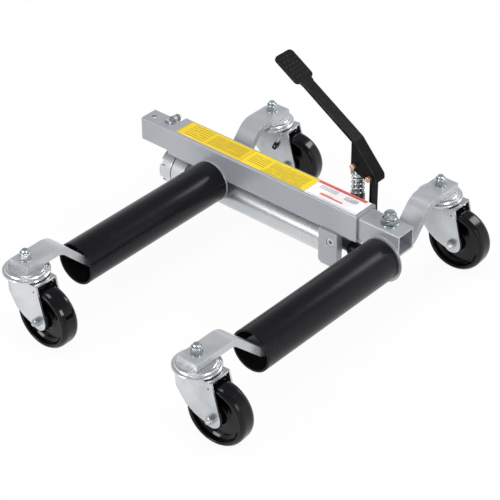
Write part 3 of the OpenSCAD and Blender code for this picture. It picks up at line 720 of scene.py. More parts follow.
def white_film() -> PrintedFilm:
    """Returns the white film with a red stripe along its back and a few plain bars."""
    grey = shade("56555c")
    rules = (
        Block(0.0, 0.93, 0.86, 1.0, shade("e2473c")),
        Block(0.10, 0.44, 0.56, 0.80, grey, lines=17, line_share=0.35),
        Block(0.60, 0.84, 0.50, 0.78, shade("2c2c32"), lines=13, line_share=0.5),
        Block(0.22, 0.66, 0.24, 0.33, shade("e0694a")),
        Block(0.22, 0.46, 0.33, 0.38, shade("efb07a")),
        Block(0.04, 0.98, 0.045, 0.065, grey))
    return PrintedFilm(
        "white_label_film", shade("fbfafc"), shade("f2f0f4"), roughness=0.36, roughness_drift=0.1,
        coat=0.3, coat_roughness=0.2, cloud=18.0, grain=1400.0, grain_tint=0.3, grain_depth=0.008,
        wear_and_highlight_colour=shade("f7f6f8"), edge_wear_and_highlight=0.3, wear_and_highlight_width=0.0007, scratches=0.2, dust=0.1,
        blocks=rules, **film_box("white_label"))


# Shapes


def corners(node: str) -> Corner:
    """Returns a node's lowest and highest corner in millimetres."""
    low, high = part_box(node)
    return low / MM, high / MM


def middle(node: str) -> Vector:
    """Returns the middle of a node's box in millimetres."""
    low, high = corners(node)
    return (low + high) / 2


def pointing(axis: Axis, origin: Place | Vector) -> Matrix:
    """Returns a frame whose z runs along an axis.

    Args:
        axis: The direction of local z.
        origin: Where the frame sits, in millimetres.

    Returns:
        The frame.
    """
    turn = Vector(axis.value).to_track_quat("Z", "Y").to_matrix().to_4x4()
    return Matrix.Translation(Vector(origin)) @ turn


def softened(profile: Profile, radius: float, closed: bool, steps: int = 4) -> Profile:
    """Rounds the corners of an outline.

    Args:
        profile: The outline's points.
        radius: Largest rounding; a short side gets a smaller one.
        closed: Whether the last point joins the first.
        steps: Pieces in each rounding.

    Returns:
        The rounded outline.
    """
    points = [Vector(p) for p in profile]
    count = len(points)
    result: Profile = []
    for i, here in enumerate(points):
        if not closed and i in (0, count - 1):
            result.append((here.x, here.y))
            continue
        before = points[i - 1] - here
        after = points[(i + 1) % count] - here
        room = min(before.length, after.length) * 0.45
        angle = before.angle(after, math.pi)
        if angle > math.radians(172) or room < 1e-3:
            result.append((here.x, here.y))
            continue
        back = min(room, radius / math.tan(angle / 2))
        start = here + before.normalized() * back
        end = here + after.normalized() * back
        for k in range(steps + 1):
            t = k / steps
            point = start * (1 - t) ** 2 + here * 2 * t * (1 - t) + end * t ** 2
            result.append((point.x, point.y))
    return result


class Shaper:
    """Collects forms in millimetres and turns them into one piece."""

    def __init__(self, name: str) -> None:
        """Starts an empty form with the piece's name."""
        self.name = name
        self.form = bmesh.new()
        self.slots: list[Finish] = []
        self.current = 0

    def coat(self, finish: Finish) -> Shaper:
        """Gives the forms that follow a finish.

        Args:
            finish: The finish of the next faces.

        Returns:
            The shaper itself.
        """
        if finish not in self.slots:
            self.slots.append(finish)
        self.current = self.slots.index(finish)
        return self

    def skin(self, rings: Sequence[Sequence[Vector]], closed: bool = False) -> Shaper:
        """Joins rings of points with faces.

        Args:
            rings: Rings with the same number of points.
            closed: Whether the last ring joins the first; otherwise both ends are capped.

        Returns:
            The shaper itself.
        """
        made = [[self.form.verts.new(p) for p in ring] for ring in rings]
        count = len(made[0])
        pairs = list(zip(made, made[1:]))
        if closed:
            pairs.append((made[-1], made[0]))
        faces = []
        for low, high in pairs:
            for i in range(count):
                j = (i + 1) % count
                faces.append(self.form.faces.new((low[i], low[j], high[j], high[i])))
        if not closed:
            faces.append(self.form.faces.new(list(reversed(made[0]))))
            faces.append(self.form.faces.new(made[-1]))
        for face in faces:
            face.material_index = self.current
        return self

    def lathe(self, profile: Profile, frame: Matrix, closed: bool = False, segments: int = 96,
              ) -> Shaper:
        """Turns a profile of (radius, height) about the frame's z.

        Args:
            profile: The points that are turned.
            frame: Where the axis is.
            closed: Whether the profile is a closed loop.
            segments: Steps round the axis.

        Returns:
            The shaper itself.
        """
        turns = [2 * math.pi * i / segments for i in range(segments)]
        rings = [[frame @ Vector((max(r, 1e-4) * math.cos(a), max(r, 1e-4) * math.sin(a), z))
                  for a in turns] for r, z in profile]
        return self.skin(rings, closed)

    def rod(self, frame: Matrix, low: float, high: float, radius: float, edge: float = 0.5,
            segments: int = 64) -> Shaper:
        """Makes a round bar with rounded ends.

        Args:
            frame: Where the axis is.
            low: Lower end on the axis.
            high: Upper end on the axis.
            radius: The bar's radius.
            edge: Rounding of its ends.
            segments: Steps round the axis.

        Returns:
            The shaper itself.
        """
        profile = softened([(0.0, low), (radius, low), (radius, high), (0.0, high)], edge, False)
        return self.lathe(profile, frame, segments=segments)

    def pipe(self, frame: Matrix, low: float, high: float, radius: float, bore: float,
             edge: float = 0.4, segments: int = 96) -> Shaper:
        """Makes a pipe or a washer with rounded edges.

        Args:
            frame: Where the axis is.
            low: Lower end on the axis.
            high: Upper end on the axis.
            radius: Outer radius.
            bore: Inner radius.
            edge: Rounding of the edges.
            segments: Steps round the axis.

        Returns:
            The shaper itself.
        """
        loop = [(bore, low), (radius, low), (radius, high), (bore, high)]
        return self.lathe(softened(loop, edge, True), frame, True, segments)

    def thread(self, frame: Matrix, low: float, high: float, radius: float, pitch: float) -> Shaper:
        """Makes a threaded bar with a chamfered tip at its high end.

        Args:
            frame: Where the axis is.
            low: Lower end on the axis.
            high: Upper end on the axis.
            radius: Outer radius.
            pitch: Distance between crests.

        Returns:
            The shaper itself.
        """
        deep = radius - pitch * 0.55
        profile: Profile = [(0.0, low)]
        count = max(1, int((high - low - pitch) / pitch))
        for i in range(count):
            z = low + i * pitch
            profile += [(deep, z), (radius, z + pitch * 0.4), (radius, z + pitch * 0.6)]
        profile += [(deep, high - pitch * 0.8), (deep - 0.4, high), (0.0, high)]
        return self.lathe(profile, frame, segments=48)

    def hexagon(self, frame: Matrix, low: float, high: float, flats: float, bore: float = 0.0,
                low_chamfer: bool = True) -> Shaper:
        """Makes a hexagonal head or nut whose corners are turned off in a cone.

        Args:
            frame: Where the axis is.
            low: Lower end on the axis.
            high: Upper end on the axis.
            flats: Size across the flats.
            bore: Radius of its hole, or 0 for a head.
            low_chamfer: Whether the low end is turned off as well.

        Returns:
            The shaper itself.
        """
        segments = 72
        inner = flats / 2 * 0.96
        turns = [2 * math.pi * i / segments for i in range(segments)]
        reach = [flats / 2 / math.cos((a + math.pi / 6) % (math.pi / 3) - math.pi / 6) for a in turns]
        drop = [(r - inner) * 0.5 for r in reach]

        def ring(radii: Iterable[float], heights: Iterable[float]) -> list[Vector]:
            return [frame @ Vector((r * math.cos(a), r * math.sin(a), z))
                    for r, z, a in zip(radii, heights, turns)]

        flat = [inner] * segments
        rings = [ring(flat, [low] * segments)] if low_chamfer else []
        rings.append(ring(reach, [low + (d if low_chamfer else 0.0) for d in drop]))
        rings.append(ring(reach, [high - d for d in drop]))
        rings.append(ring(flat, [high] * segments))
        if bore:
            sink = min(0.8, (inner - bore) / 2)
            rings.append(ring([bore + sink] * segments, [high] * segments))
            rings.append(ring([bore] * segments, [high - sink] * segments))
            rings.append(ring([bore] * segments, [low + sink] * segments))
            rings.append(ring([bore + sink] * segments, [low] * segments))
            return self.skin(rings, closed=True)
        return self.skin(rings)

    def sweep(self, path: Sequence[Vector], radii: Sequence[float], sides: int = 20) -> Shaper:
        """Runs a round section along a path.

        Args:
            path: The centre line.
            radii: The section's radius at each point.
            sides: Steps round the section.

        Returns:
            The shaper itself.
        """
        rings = []
        across = None
        for i, here in enumerate(path):
            ahead = (path[min(i + 1, len(path) - 1)] - path[max(i - 1, 0)]).normalized()
            if across is None:
                across = ahead.orthogonal().normalized()
            across = (across - ahead * across.dot(ahead)).normalized()
            other = ahead.cross(across)
            rings.append([here + (across * math.cos(a) + other * math.sin(a)) * radii[i]
                          for a in (2 * math.pi * k / sides for k in range(sides))])
        return self.skin(rings)

    def prism(self, outline: Profile, frame: Matrix, low: float, high: float) -> Shaper:
        """Raises an outline along the frame's z.

        Args:
            outline: Points in the frame's x and y.
            frame: Where the outline lies.
            low: Lower end.
            high: Upper end.

        Returns:
            The shaper itself.
        """
        rings = [[frame @ Vector((x, y, z)) for x, y in outline] for z in (low, high)]
        return self.skin(rings)

    def piece(self, body: str, slot: Slot, replaced: Sequence[str] = (), bevel: float = 0.0,
              sharp: float = 32.0) -> bpy.types.Object:
        """Makes the piece and hands it to the frame.

        Args:
            body: The body that it rides on.
            slot: The record's slot that its finish belongs to; not used.
            replaced: The nodes that it stands for.
            bevel: Rounding of its sharp edges in millimetres.
            sharp: Smallest angle of an edge that stays sharp, in degrees.

        Returns:
            The new piece.
        """
        bmesh.ops.remove_doubles(self.form, verts=self.form.verts, dist=5e-4)
        bmesh.ops.recalc_face_normals(self.form, faces=self.form.faces)
        bmesh.ops.scale(self.form, vec=(MM, MM, MM), verts=self.form.verts)
        data = bpy.data.meshes.new(self.name)
        self.form.to_mesh(data)
        self.form.free()
        for finish in self.slots:
            data.materials.append(finish.build())
        data.polygons.foreach_set("use_smooth", [True] * len(data.polygons))
        data.set_sharp_from_angle(angle=math.radians(sharp))
        made = bpy.data.objects.new(self.name, data)
        bpy.context.scene.collection.objects.link(made)
        if bevel:
            EdgeWork(bevel, weld=False).apply(made)
        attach(made, body)
        if replaced:
            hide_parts(*replaced)
        LOG.info("piece %s rides on %s, %d faces", self.name, body, len(data.polygons))
        return made


@dataclass(frozen=True)
class EdgeWork:
    """Rounds a piece's sharp edges and keeps its flat faces flat."""

    width: float = 0.6
    segments: int = 2
    limit: float = 28.0
    weld: bool = True
    merge: bool = True

    def shading(self) -> bpy.types.NodeTree:
        """Returns the geometry group that shades smooth except over sharp angles."""
        name = "Soft shading"
        found = bpy.data.node_groups.get(name)
        if found:
            return found
        tree = bpy.data.node_groups.new(name, "GeometryNodeTree")
        tree.interface.new_socket(name="Geometry", in_out="INPUT", socket_type="NodeSocketGeometry")
        tree.interface.new_socket(name="Geometry", in_out="OUTPUT", socket_type="NodeSocketGeometry")
        wiring = Wiring(tree)
        source = wiring.add("NodeGroupInput")
        sink = wiring.add("NodeGroupOutput")
        smooth = wiring.add("GeometryNodeSetShadeSmooth", domain="FACE")
        crease = wiring.add("GeometryNodeSetShadeSmooth", domain="EDGE")
        angle = wiring.add("GeometryNodeInputMeshEdgeAngle")
        wide = wiring.math("GREATER_THAN", angle.outputs[0], math.radians(38))
        wiring.put(smooth.inputs[0], source.outputs[0])
        wiring.put(crease.inputs[0], smooth.outputs[0])
        wiring.put(crease.inputs["Selection"], wide)
        crease.inputs["Shade Smooth"].default_value = False
        wiring.put(sink.inputs[0], crease.outputs[0])
        return tree

    def apply(self, piece: bpy.types.Object) -> None:
        """Adds the modifiers.

        Args:
            piece: The piece or node that gets them.
        """
        if self.weld:
            weld = piece.modifiers.new("weld", "WELD")
            weld.merge_threshold = 1e-5
        if self.weld and self.merge:
            flat = piece.modifiers.new("flat_faces", "DECIMATE")
            flat.decimate_type = "DISSOLVE"
            flat.angle_limit = math.radians(0.3)
        if self.width:
            bevel = piece.modifiers.new("edges", "BEVEL")
            bevel.width = self.width * MM
            bevel.segments = self.segments
            bevel.limit_method = "ANGLE"
            bevel.angle_limit = math.radians(self.limit)
            bevel.use_clamp_overlap = True
        soft = piece.modifiers.new("soft_shading", "NODES")
        soft.node_group = self.shading()
        even = piece.modifiers.new("even_normals", "WEIGHTED_NORMAL")
        even.keep_sharp = True
        even.weight = 60


class Dresser:
    """Gives CAD nodes their finish and their edges."""

    def __init__(self, nodes: dict[str, bpy.types.Object]) -> None:
        """Keeps the frame's nodes and starts a list of the dressed ones."""
        self.nodes = nodes
        self.done: set[str] = set()

    def dress(self, name: str, finish: Finish, edges: EdgeWork | None = EdgeWork()) -> bpy.types.Object:
        """Puts a finish and rounded edges on a node.

        Args:
            name: The node.
            finish: Its finish.
            edges: How its edges are rounded, or None to leave them.

        Returns:
            The node's object.
        """
        node = self.nodes[name]
        node.data.materials.clear()
        node.data.materials.append(finish.build())
        if node.data.has_custom_normals:
            node.data.attributes.remove(node.data.attributes["custom_normal"])
        node.data.polygons.foreach_set("use_smooth", [True] * len(node.data.polygons))
        if edges:
            edges.apply(node)
        self.done.add(name)
        LOG.info("node %s dressed as %s", name, finish.name)
        return node


# Sub-assemblies


@dataclass
class Beam:
    """The outer sleeve, its labels and its end bolt, and the tube that slides in it."""

    palette: Palette
    dresser: Dresser
    tube_edge: float = 0.5
    bolt_radius: float = 4.0
    bolt_flats: float = 13.0
    head_height: float = 6.0
    nut_height: float = 7.0
    washer: float = 1.8
    washer_radius: float = 8.0
    lug: float = 5.0
    pitch: float = 1.25
    film_edge: float = 0.08

    def build(self) -> None:
        """Dresses both tubes and the labels, and makes the end bolt."""
        for name in ("sleeve", "inner_tube"):
            self.dresser.dress(name, self.palette.beam, EdgeWork(self.tube_edge))
        self.dresser.dress("yellow_label", yellow_film(), EdgeWork(self.film_edge))
        self.dresser.dress("white_label", white_film(), EdgeWork(self.film_edge))
        self.end_bolt()

    def end_bolt(self) -> None:
        """Makes the bolt that lies across the cut-away end of the sleeve."""
        low, high = corners("stub_bolt")
        centre = middle("stub_bolt")
        frame = pointing(Axis.Y, (centre.x, 0.0, centre.z))
        head = low.y
        shank = head + self.head_height
        nut = high.y - self.head_height
        face = nut - self.nut_height - self.lug
        bolt = Shaper("end_bolt").coat(self.palette.bolt)
        bolt.hexagon(frame, head, shank, self.bolt_flats)
        bolt.rod(frame, shank - 1, face - self.washer, self.bolt_radius, 0.3)
        bolt.thread(frame, face - self.washer - 1, high.y, self.bolt_radius, self.pitch)
        bolt.pipe(frame, face - self.washer, face, self.washer_radius, self.bolt_radius + PLAY)
        bolt.hexagon(frame, nut - self.nut_height, nut, self.bolt_flats, self.bolt_radius)
        bolt.piece("frame", Slot.BOLT, ["stub_bolt"])


@dataclass
class RollerArm:
    """One arm: flange, fixed axle, both bent bars, and the roller that turns on it."""

    side: Side
    body: str
    palette: Palette
    dresser: Dresser
    wall: float = 3.5
    mouth_edge: float = 0.9
    bar_edge: float = 0.9
    bead: float = 1.7
    bead_steps: int = 56
    bead_ends: float = 4.0

    def build(self) -> None:
        """Dresses the arm's nodes, and makes its roller and weld beads."""
        side = self.side.value
        for part in ("front_bar", "back_bar"):
            self.dresser.dress(f"{side}_{part}", self.palette.bar, EdgeWork(self.bar_edge))
        self.dresser.dress(f"{side}_flange", self.palette.bar, EdgeWork(0.5))
        self.dresser.dress(f"{side}_axle", self.palette.steel, EdgeWork(0.8))
        self.dresser.dress(f"{side}_bushes", self.palette.nylon, EdgeWork(0.5))
        self.roller()
        self.welds()

    def roller(self) -> None:
        """Makes the roller as a smooth coated tube with rounded mouths."""
        side = self.side.value
        low, high = corners(f"{side}_roller")
        centre = middle(f"{side}_roller")
        radius = (high.z - low.z) / 2
        bore = radius - self.wall
        frame = pointing(Axis.Y, (centre.x, 0.0, centre.z))
        outer = softened([(bore + 0.2, low.y), (radius, low.y), (radius, high.y), (bore + 0.2, high.y)],
                         self.mouth_edge, False, 5)
        form = Shaper(f"{side}_roller_tube").coat(self.palette.roller)
        loop = [*outer, (bore, high.y - 0.3), (bore, low.y + 0.3)]
        form.lathe(loop, frame, True, 160)
        form.coat(self.palette.bore)
        index = form.current
        axis = Vector((centre.x, 0.0, centre.z))
        for face in form.form.faces:
            spot = face.calc_center_median() - axis
            if math.hypot(spot.x, spot.z) < bore + 0.15:
                face.material_index = index
        form.piece(f"{side}_roller_set", Slot.ROLLER, [f"{side}_roller"])

    def welds(self) -> None:
        """Makes the weld beads that join the back bar to the tube above it."""
        side = self.side.value
        tube = "sleeve" if self.side is Side.LEFT else "inner_tube"
        tube_low, tube_high = corners(tube)
        bar_low, bar_high = corners(f"{side}_back_bar")
        beads = Shaper(f"{side}_weld_beads").coat(self.palette.steel)
        for edge, way in ((bar_low.x, -1.0), (bar_high.x, 1.0)):
            start = bar_low.y + self.bead_ends
            end = tube_high.y - (self.bead_ends if self.side is Side.LEFT else 3.0)
            path = []
            radii = []
            for i in range(self.bead_steps + 1):
                t = i / self.bead_steps
                y = start + (end - start) * t
                waver = 0.12 * math.sin(i * 1.9)
                path.append(Vector((edge + way * 0.3, y, tube_low.z - 0.5 + waver)))
                taper = min(1.0, 6 * t + 0.3, 6 * (1 - t) + 0.3)
                radii.append(self.bead * taper * (0.9 + 0.12 * math.sin(i * 1.55)))
            beads.sweep(path, radii, 12)
        beads.piece(self.body, Slot.STEEL, sharp=60)


@dataclass
class Caster:
    """One swivel caster: its fork, wheel, hub and axle bolt."""

    place: str
    palette: Palette
    dresser: Dresser
    leg: float = 22.0
    leg_plate: float = 3.0
    flats: float = 13.0
    head_height: float = 6.0
    nut_height: float = 7.0
    shank: float = 4.5
    tip: float = 4.0
    pitch: float = 1.5
    washer: tuple[float, float] = (13.0, 1.2)
    hub: float = 9.0
    width: float = 33.0
    moulded: float = 1.8

    def build(self) -> None:
        """Dresses the fork and hub, and makes the wheel and its bolt."""
        # The fork keeps sharp corners; its zinc finish paints the edge highlight.
        self.dresser.dress(f"{self.place}_fork", self.palette.zinc, EdgeWork(0.0, merge=False))
        self.dresser.dress(f"{self.place}_hub", self.palette.steel, EdgeWork(0.5))
        frame = self.axle_frame()
        self.wheel(frame)
        self.axle_bolt(frame)

    def axle_frame(self) -> Matrix:
        """Returns a frame in the wheel's middle, with z along the axle towards its nut."""
        side = self.place.split("_")[1]
        races = f"{side}_races"
        low, high = corners(races)
        reach = (high.x - low.x) / 2
        along = low.y + reach if self.place.startswith("front") else high.y - reach
        pin = Vector(((low.x + high.x) / 2, along, 0.0))
        centre = middle(f"{self.place}_wheel")
        heading = math.atan2(centre.y - pin.y, centre.x - pin.x)
        turn = Matrix.Rotation(heading, 4, "Z") @ Matrix.Rotation(math.pi / 2, 4, "X")
        return Matrix.Translation(centre) @ turn

    def wheel(self, frame: Matrix) -> None:
        """Makes the moulded wheel with its rounded tread and dished sides.

        Args:
            frame: The axle's frame.
        """
        low, high = corners(f"{self.place}_wheel")
        radius = (high.z - low.z) / 2
        half = self.width / 2
        side = [(radius, 8.0), (radius - 1.1, 12.4), (radius - 4.5, half), (radius - 7.5, half),
                (radius - 8.8, half - 1.6), (radius - 10, 8.0), (radius - 14, 4.6), (24.0, 5.6),
                (17.6, 7.0), (15.2, half + 0.5), (self.hub, half + 0.5)]
        loop = [*side, *[(r, -z) for r, z in reversed(side)]]
        form = Shaper(f"{self.place}_tyre").coat(self.palette.wheel)
        form.lathe(softened(loop, self.moulded, True, 5), frame, True, 128)
        form.piece(f"{self.place}_wheel_set", Slot.WHEEL, [f"{self.place}_wheel"], sharp=50)

    def axle_bolt(self, frame: Matrix) -> None:
        """Makes the wheel's bolt with its washers and nut.

        Args:
            frame: The axle's frame.
        """
        form = Shaper(f"{self.place}_axle_bolt").coat(self.palette.bolt)
        nut_end = self.leg + self.nut_height
        form.hexagon(frame, -self.leg - self.head_height, -self.leg, self.flats)
        form.rod(frame, -self.leg - 0.5, self.leg, self.shank, 0.2)
        form.thread(frame, self.leg - 1, nut_end + self.tip, self.shank, self.pitch)
        form.hexagon(frame, self.leg, nut_end, self.flats, self.shank)
        inside = self.leg - self.leg_plate
        radius, thick = self.washer
        for low in (-inside, inside - thick):
            form.pipe(frame, low, low + thick, radius, self.shank + PLAY, 0.25)
        form.piece(f"{self.place}_swivel", Slot.BOLT, [f"{self.place}_axle"])


@dataclass
class KingpinPair:
    """The two kingpins of one arm, with their nuts, upper races and balls."""

    side: Side
    body: str
    palette: Palette
    dresser: Dresser
    shank: float = 6.0
    flats: float = 17.0
    nut_height: float = 9.0
    washer: float = 2.0
    washer_radius: float = 9.8
    collar: float = 3.0
    collar_radius: float = 8.4
    above: float = 4.0
    pitch: float = 1.5
    head: tuple[float, float] = (10.0, 7.0)

    def build(self) -> None:
        """Makes the pins and races, and dresses the balls."""
        side = self.side.value
        self.dresser.dress(f"{side}_balls", self.palette.steel, EdgeWork(0.0))
        self.pins(side)
        self.races(side)

    def axes(self, node: str) -> list[tuple[float, float]]:
        """Returns where the two pins stand.

        Args:
            node: A node that holds a round form about each pin.

        Returns:
            x and y of the front pin and the back pin.
        """
        low, high = corners(node)
        reach = (high.x - low.x) / 2
        x = (low.x + high.x) / 2
        return [(x, low.y + reach), (x, high.y - reach)]

    def pins(self, side: str) -> None:
        """Makes both pins with washer, nut, collar and threaded tip.

        Args:
            side: The arm's name.
        """
        node = f"{side}_kingpins"
        low, high = corners(node)
        form = Shaper(f"{side}_kingpin_bolts").coat(self.palette.bolt)
        collar_top = high.z - self.above
        nut_top = collar_top - self.collar
        nut_low = nut_top - self.nut_height
        for x, y in self.axes(f"{side}_races"):
            frame = pointing(Axis.Z, (x, y, 0.0))
            form.rod(frame, low.z + 3, nut_low, self.shank, 0.3)
            form.thread(frame, nut_low - 0.5, high.z, self.shank, self.pitch)
            form.rod(frame, low.z, low.z + self.head[1], self.head[0], 1.2)
            form.pipe(frame, nut_low - self.washer, nut_low, self.washer_radius, self.shank + PLAY)
            form.hexagon(frame, nut_low, nut_top, self.flats, self.shank)
            form.pipe(frame, nut_top - 0.2, collar_top, self.collar_radius, self.shank, 0.9)
        form.piece(self.body, Slot.BOLT, [node])

    def races(self, side: str) -> None:
        """Makes both upper races as pressed cups with a rolled rim.

        Args:
            side: The arm's name.
        """
        node = f"{side}_races"
        low, high = corners(node)
        radius = (high.x - low.x) / 2
        top = high.z
        bore = self.shank + PLAY
        section = [(bore, -3.0), (radius - 9, -3.0), (radius - 5.5, -5.5), (radius - 2, -8.0),
                   (radius, -8.0), (radius, -5.6), (radius - 1.6, -4.2), (radius - 4.4, -3.8),
                   (radius - 5.6, -1.4), (radius - 8.2, -1.0), (radius - 9.6, 0.0), (bore, 0.0)]
        form = Shaper(f"{side}_upper_races").coat(self.palette.zinc)
        for x, y in self.axes(node):
            frame = pointing(Axis.Z, (x, y, top))
            form.lathe(softened(section, 0.8, True, 4), frame, True, 120)
        form.piece(self.body, Slot.CASTER, [node], sharp=50)


@dataclass
class ArmFixings:
    """The big bolt through the right arm, and the nuts and bracket under it."""

    palette: Palette
    dresser: Dresser
    shank: float = 6.0
    washer: tuple[float, float] = (15.2, 2.5)
    nut: tuple[float, float] = (23.5, 8.5)
    head: tuple[float, float] = (17.5, 9.5)
    button: tuple[float, float] = (7.8, 1.5)
    thread: tuple[float, float] = (15.0, 1.75)
    lower_washer: tuple[float, float] = (11.0, 2.0)
    lower_nut: tuple[float, float] = (18.0, 10.0)
    rod_nut: tuple[float, float, float] = (20.0, 8.0, 7.0)

    def build(self) -> None:
        """Makes the bolt and nuts, and dresses the rod's bracket."""
        self.dresser.dress("rod_bracket", self.palette.bar, EdgeWork(0.7))
        self.bolt()
        self.nuts()

    def bolt(self) -> None:
        """Makes the tall-headed bolt with its washer and collar."""
        low, high = corners("arm_bolt")
        centre = middle("arm_bolt")
        frame = pointing(Axis.Z, (centre.x, centre.y, 0.0))
        head_top = high.z - self.button[1]
        nut_top = head_top - self.head[1]
        nut_low = nut_top - self.nut[1]
        form = Shaper("arm_bolt_with_washers").coat(self.palette.bolt)
        form.pipe(frame, nut_low - self.washer[1], nut_low, self.washer[0], self.shank, 0.5)
        form.hexagon(frame, nut_low, nut_top, self.nut[0], self.shank)
        form.hexagon(frame, nut_top - 0.2, head_top, self.head[0])
        form.rod(frame, head_top - 1, high.z, self.button[0], 0.7)
        form.rod(frame, low.z + 14, nut_low, self.shank, 0.3)
        down = pointing(Axis.Z, (centre.x, centre.y, low.z)) @ Matrix.Rotation(math.pi, 4, "X")
        form.thread(down, -self.thread[0], 0.0, self.shank, self.thread[1])
        form.piece("right_arm", Slot.BOLT, ["arm_bolt"])

    def nuts(self) -> None:
        """Makes the nut under the arm bolt and the one on the rod's end."""
        _, high = corners("arm_nuts")
        centre = middle("arm_bolt")
        frame = pointing(Axis.Z, (centre.x, centre.y, 0.0))
        radius, thick = self.lower_washer
        flats, tall = self.lower_nut
        form = Shaper("arm_lock_nuts").coat(self.palette.bolt)
        form.pipe(frame, high.z - thick, high.z, radius, self.shank + PLAY)
        form.hexagon(frame, high.z - thick - tall, high.z - thick, flats, self.shank)
        rod = middle("ram_rod")
        _, plate = corners("rod_bracket")
        end = pointing(Axis.X, (plate.x, rod.y, rod.z))
        flats, tall, bore = self.rod_nut
        form.hexagon(end, 0.0, tall, flats, bore)
        form.piece("right_arm", Slot.BOLT, ["arm_nuts"])


@dataclass
class Ram:
    """The hydraulic ram: barrel, end cap, gland, piston, rod and stop collar."""

    palette: Palette
    dresser: Dresser
    bore: float = 23.0
    tube: float = 27.5
    head: float = 30.0
    head_gap: float = 0.8
    rod_radius: float = 9.0
    end_radius: float = 7.0
    piston_length: float = 18.0
    end_length: float = 18.0

    def build(self) -> None:
        """Makes the turned pieces and dresses the others."""
        self.dresser.dress("ram_end_cap", self.palette.ram, EdgeWork(1.2, 3))
        for name in ("ram_gland", "ram_piston"):
            self.dresser.dress(name, self.palette.steel, EdgeWork(0.4))
        self.dresser.dress("piston_seals", self.palette.seal, EdgeWork(0.3))
        self.barrel()
        self.rod()
        self.collar()

    def barrel(self) -> None:
        """Makes the barrel, with a head ring and a turned groove beside its end cap."""
        low, high = corners("ram_barrel")
        centre = middle("ram_barrel")
        ring = (high.z - low.z) / 2
        radius = self.tube
        start = low.x + self.head_gap
        shoulder = low.x + self.head
        frame = pointing(Axis.X, (0.0, centre.y, centre.z))
        outer = [(radius, low.x), (radius, start), (ring - 1.2, start), (ring, start + 1.2),
                 (ring, shoulder - 6.2), (ring - 0.7, shoulder - 5.8), (ring - 0.7, shoulder - 4.6),
                 (ring, shoulder - 4.2), (ring, shoulder - 1.6), (ring - 1.6, shoulder),
                 (radius, shoulder), (radius, high.x - 0.6), (radius - 0.6, high.x)]
        loop = [*outer, (self.bore, high.x), (self.bore, low.x)]
        form = Shaper("ram_barrel_tube").coat(self.palette.ram)
        form.lathe(loop, frame, True, 144)
        form.piece("frame", Slot.RAM, ["ram_barrel"])

    def rod(self) -> None:
        """Makes the ground rod with its piston end and threaded end."""
        low, high = corners("ram_rod")
        centre = middle("ram_rod")
        frame = pointing(Axis.X, (0.0, centre.y, centre.z))
        shoulder = high.x - self.end_length
        form = Shaper("ram_rod_bar").coat(self.palette.steel)
        form.rod(frame, low.x, low.x + self.piston_length + 1, self.end_radius, 0.4)
        form.rod(frame, low.x + self.piston_length, shoulder, self.rod_radius, 0.6)
        form.thread(frame, shoulder - 0.5, high.x, self.end_radius, 1.5)
        form.piece("right_arm", Slot.STEEL, ["ram_rod"])

    def collar(self) -> None:
        """Makes the stop collar with its set screw."""
        low, high = corners("rod_collar")
        centre = middle("rod_collar")
        radius = (high.z - low.z) / 2
        frame = pointing(Axis.X, (0.0, centre.y, centre.z))
        form = Shaper("rod_stop_collar").coat(self.palette.roller)
        form.pipe(frame, low.x, high.x, radius, self.rod_radius + PLAY, 1.0)
        form.coat(self.palette.bolt)
        screw = pointing(Axis.Z, (centre.x, centre.y, centre.z)) @ Matrix.Rotation(math.pi / 2, 4, "X")
        form.pipe(screw, radius - 2.5, radius - 0.2, 3.2, 1.5, 0.3, 32)
        form.piece("right_arm", Slot.ROLLER, ["rod_collar"])


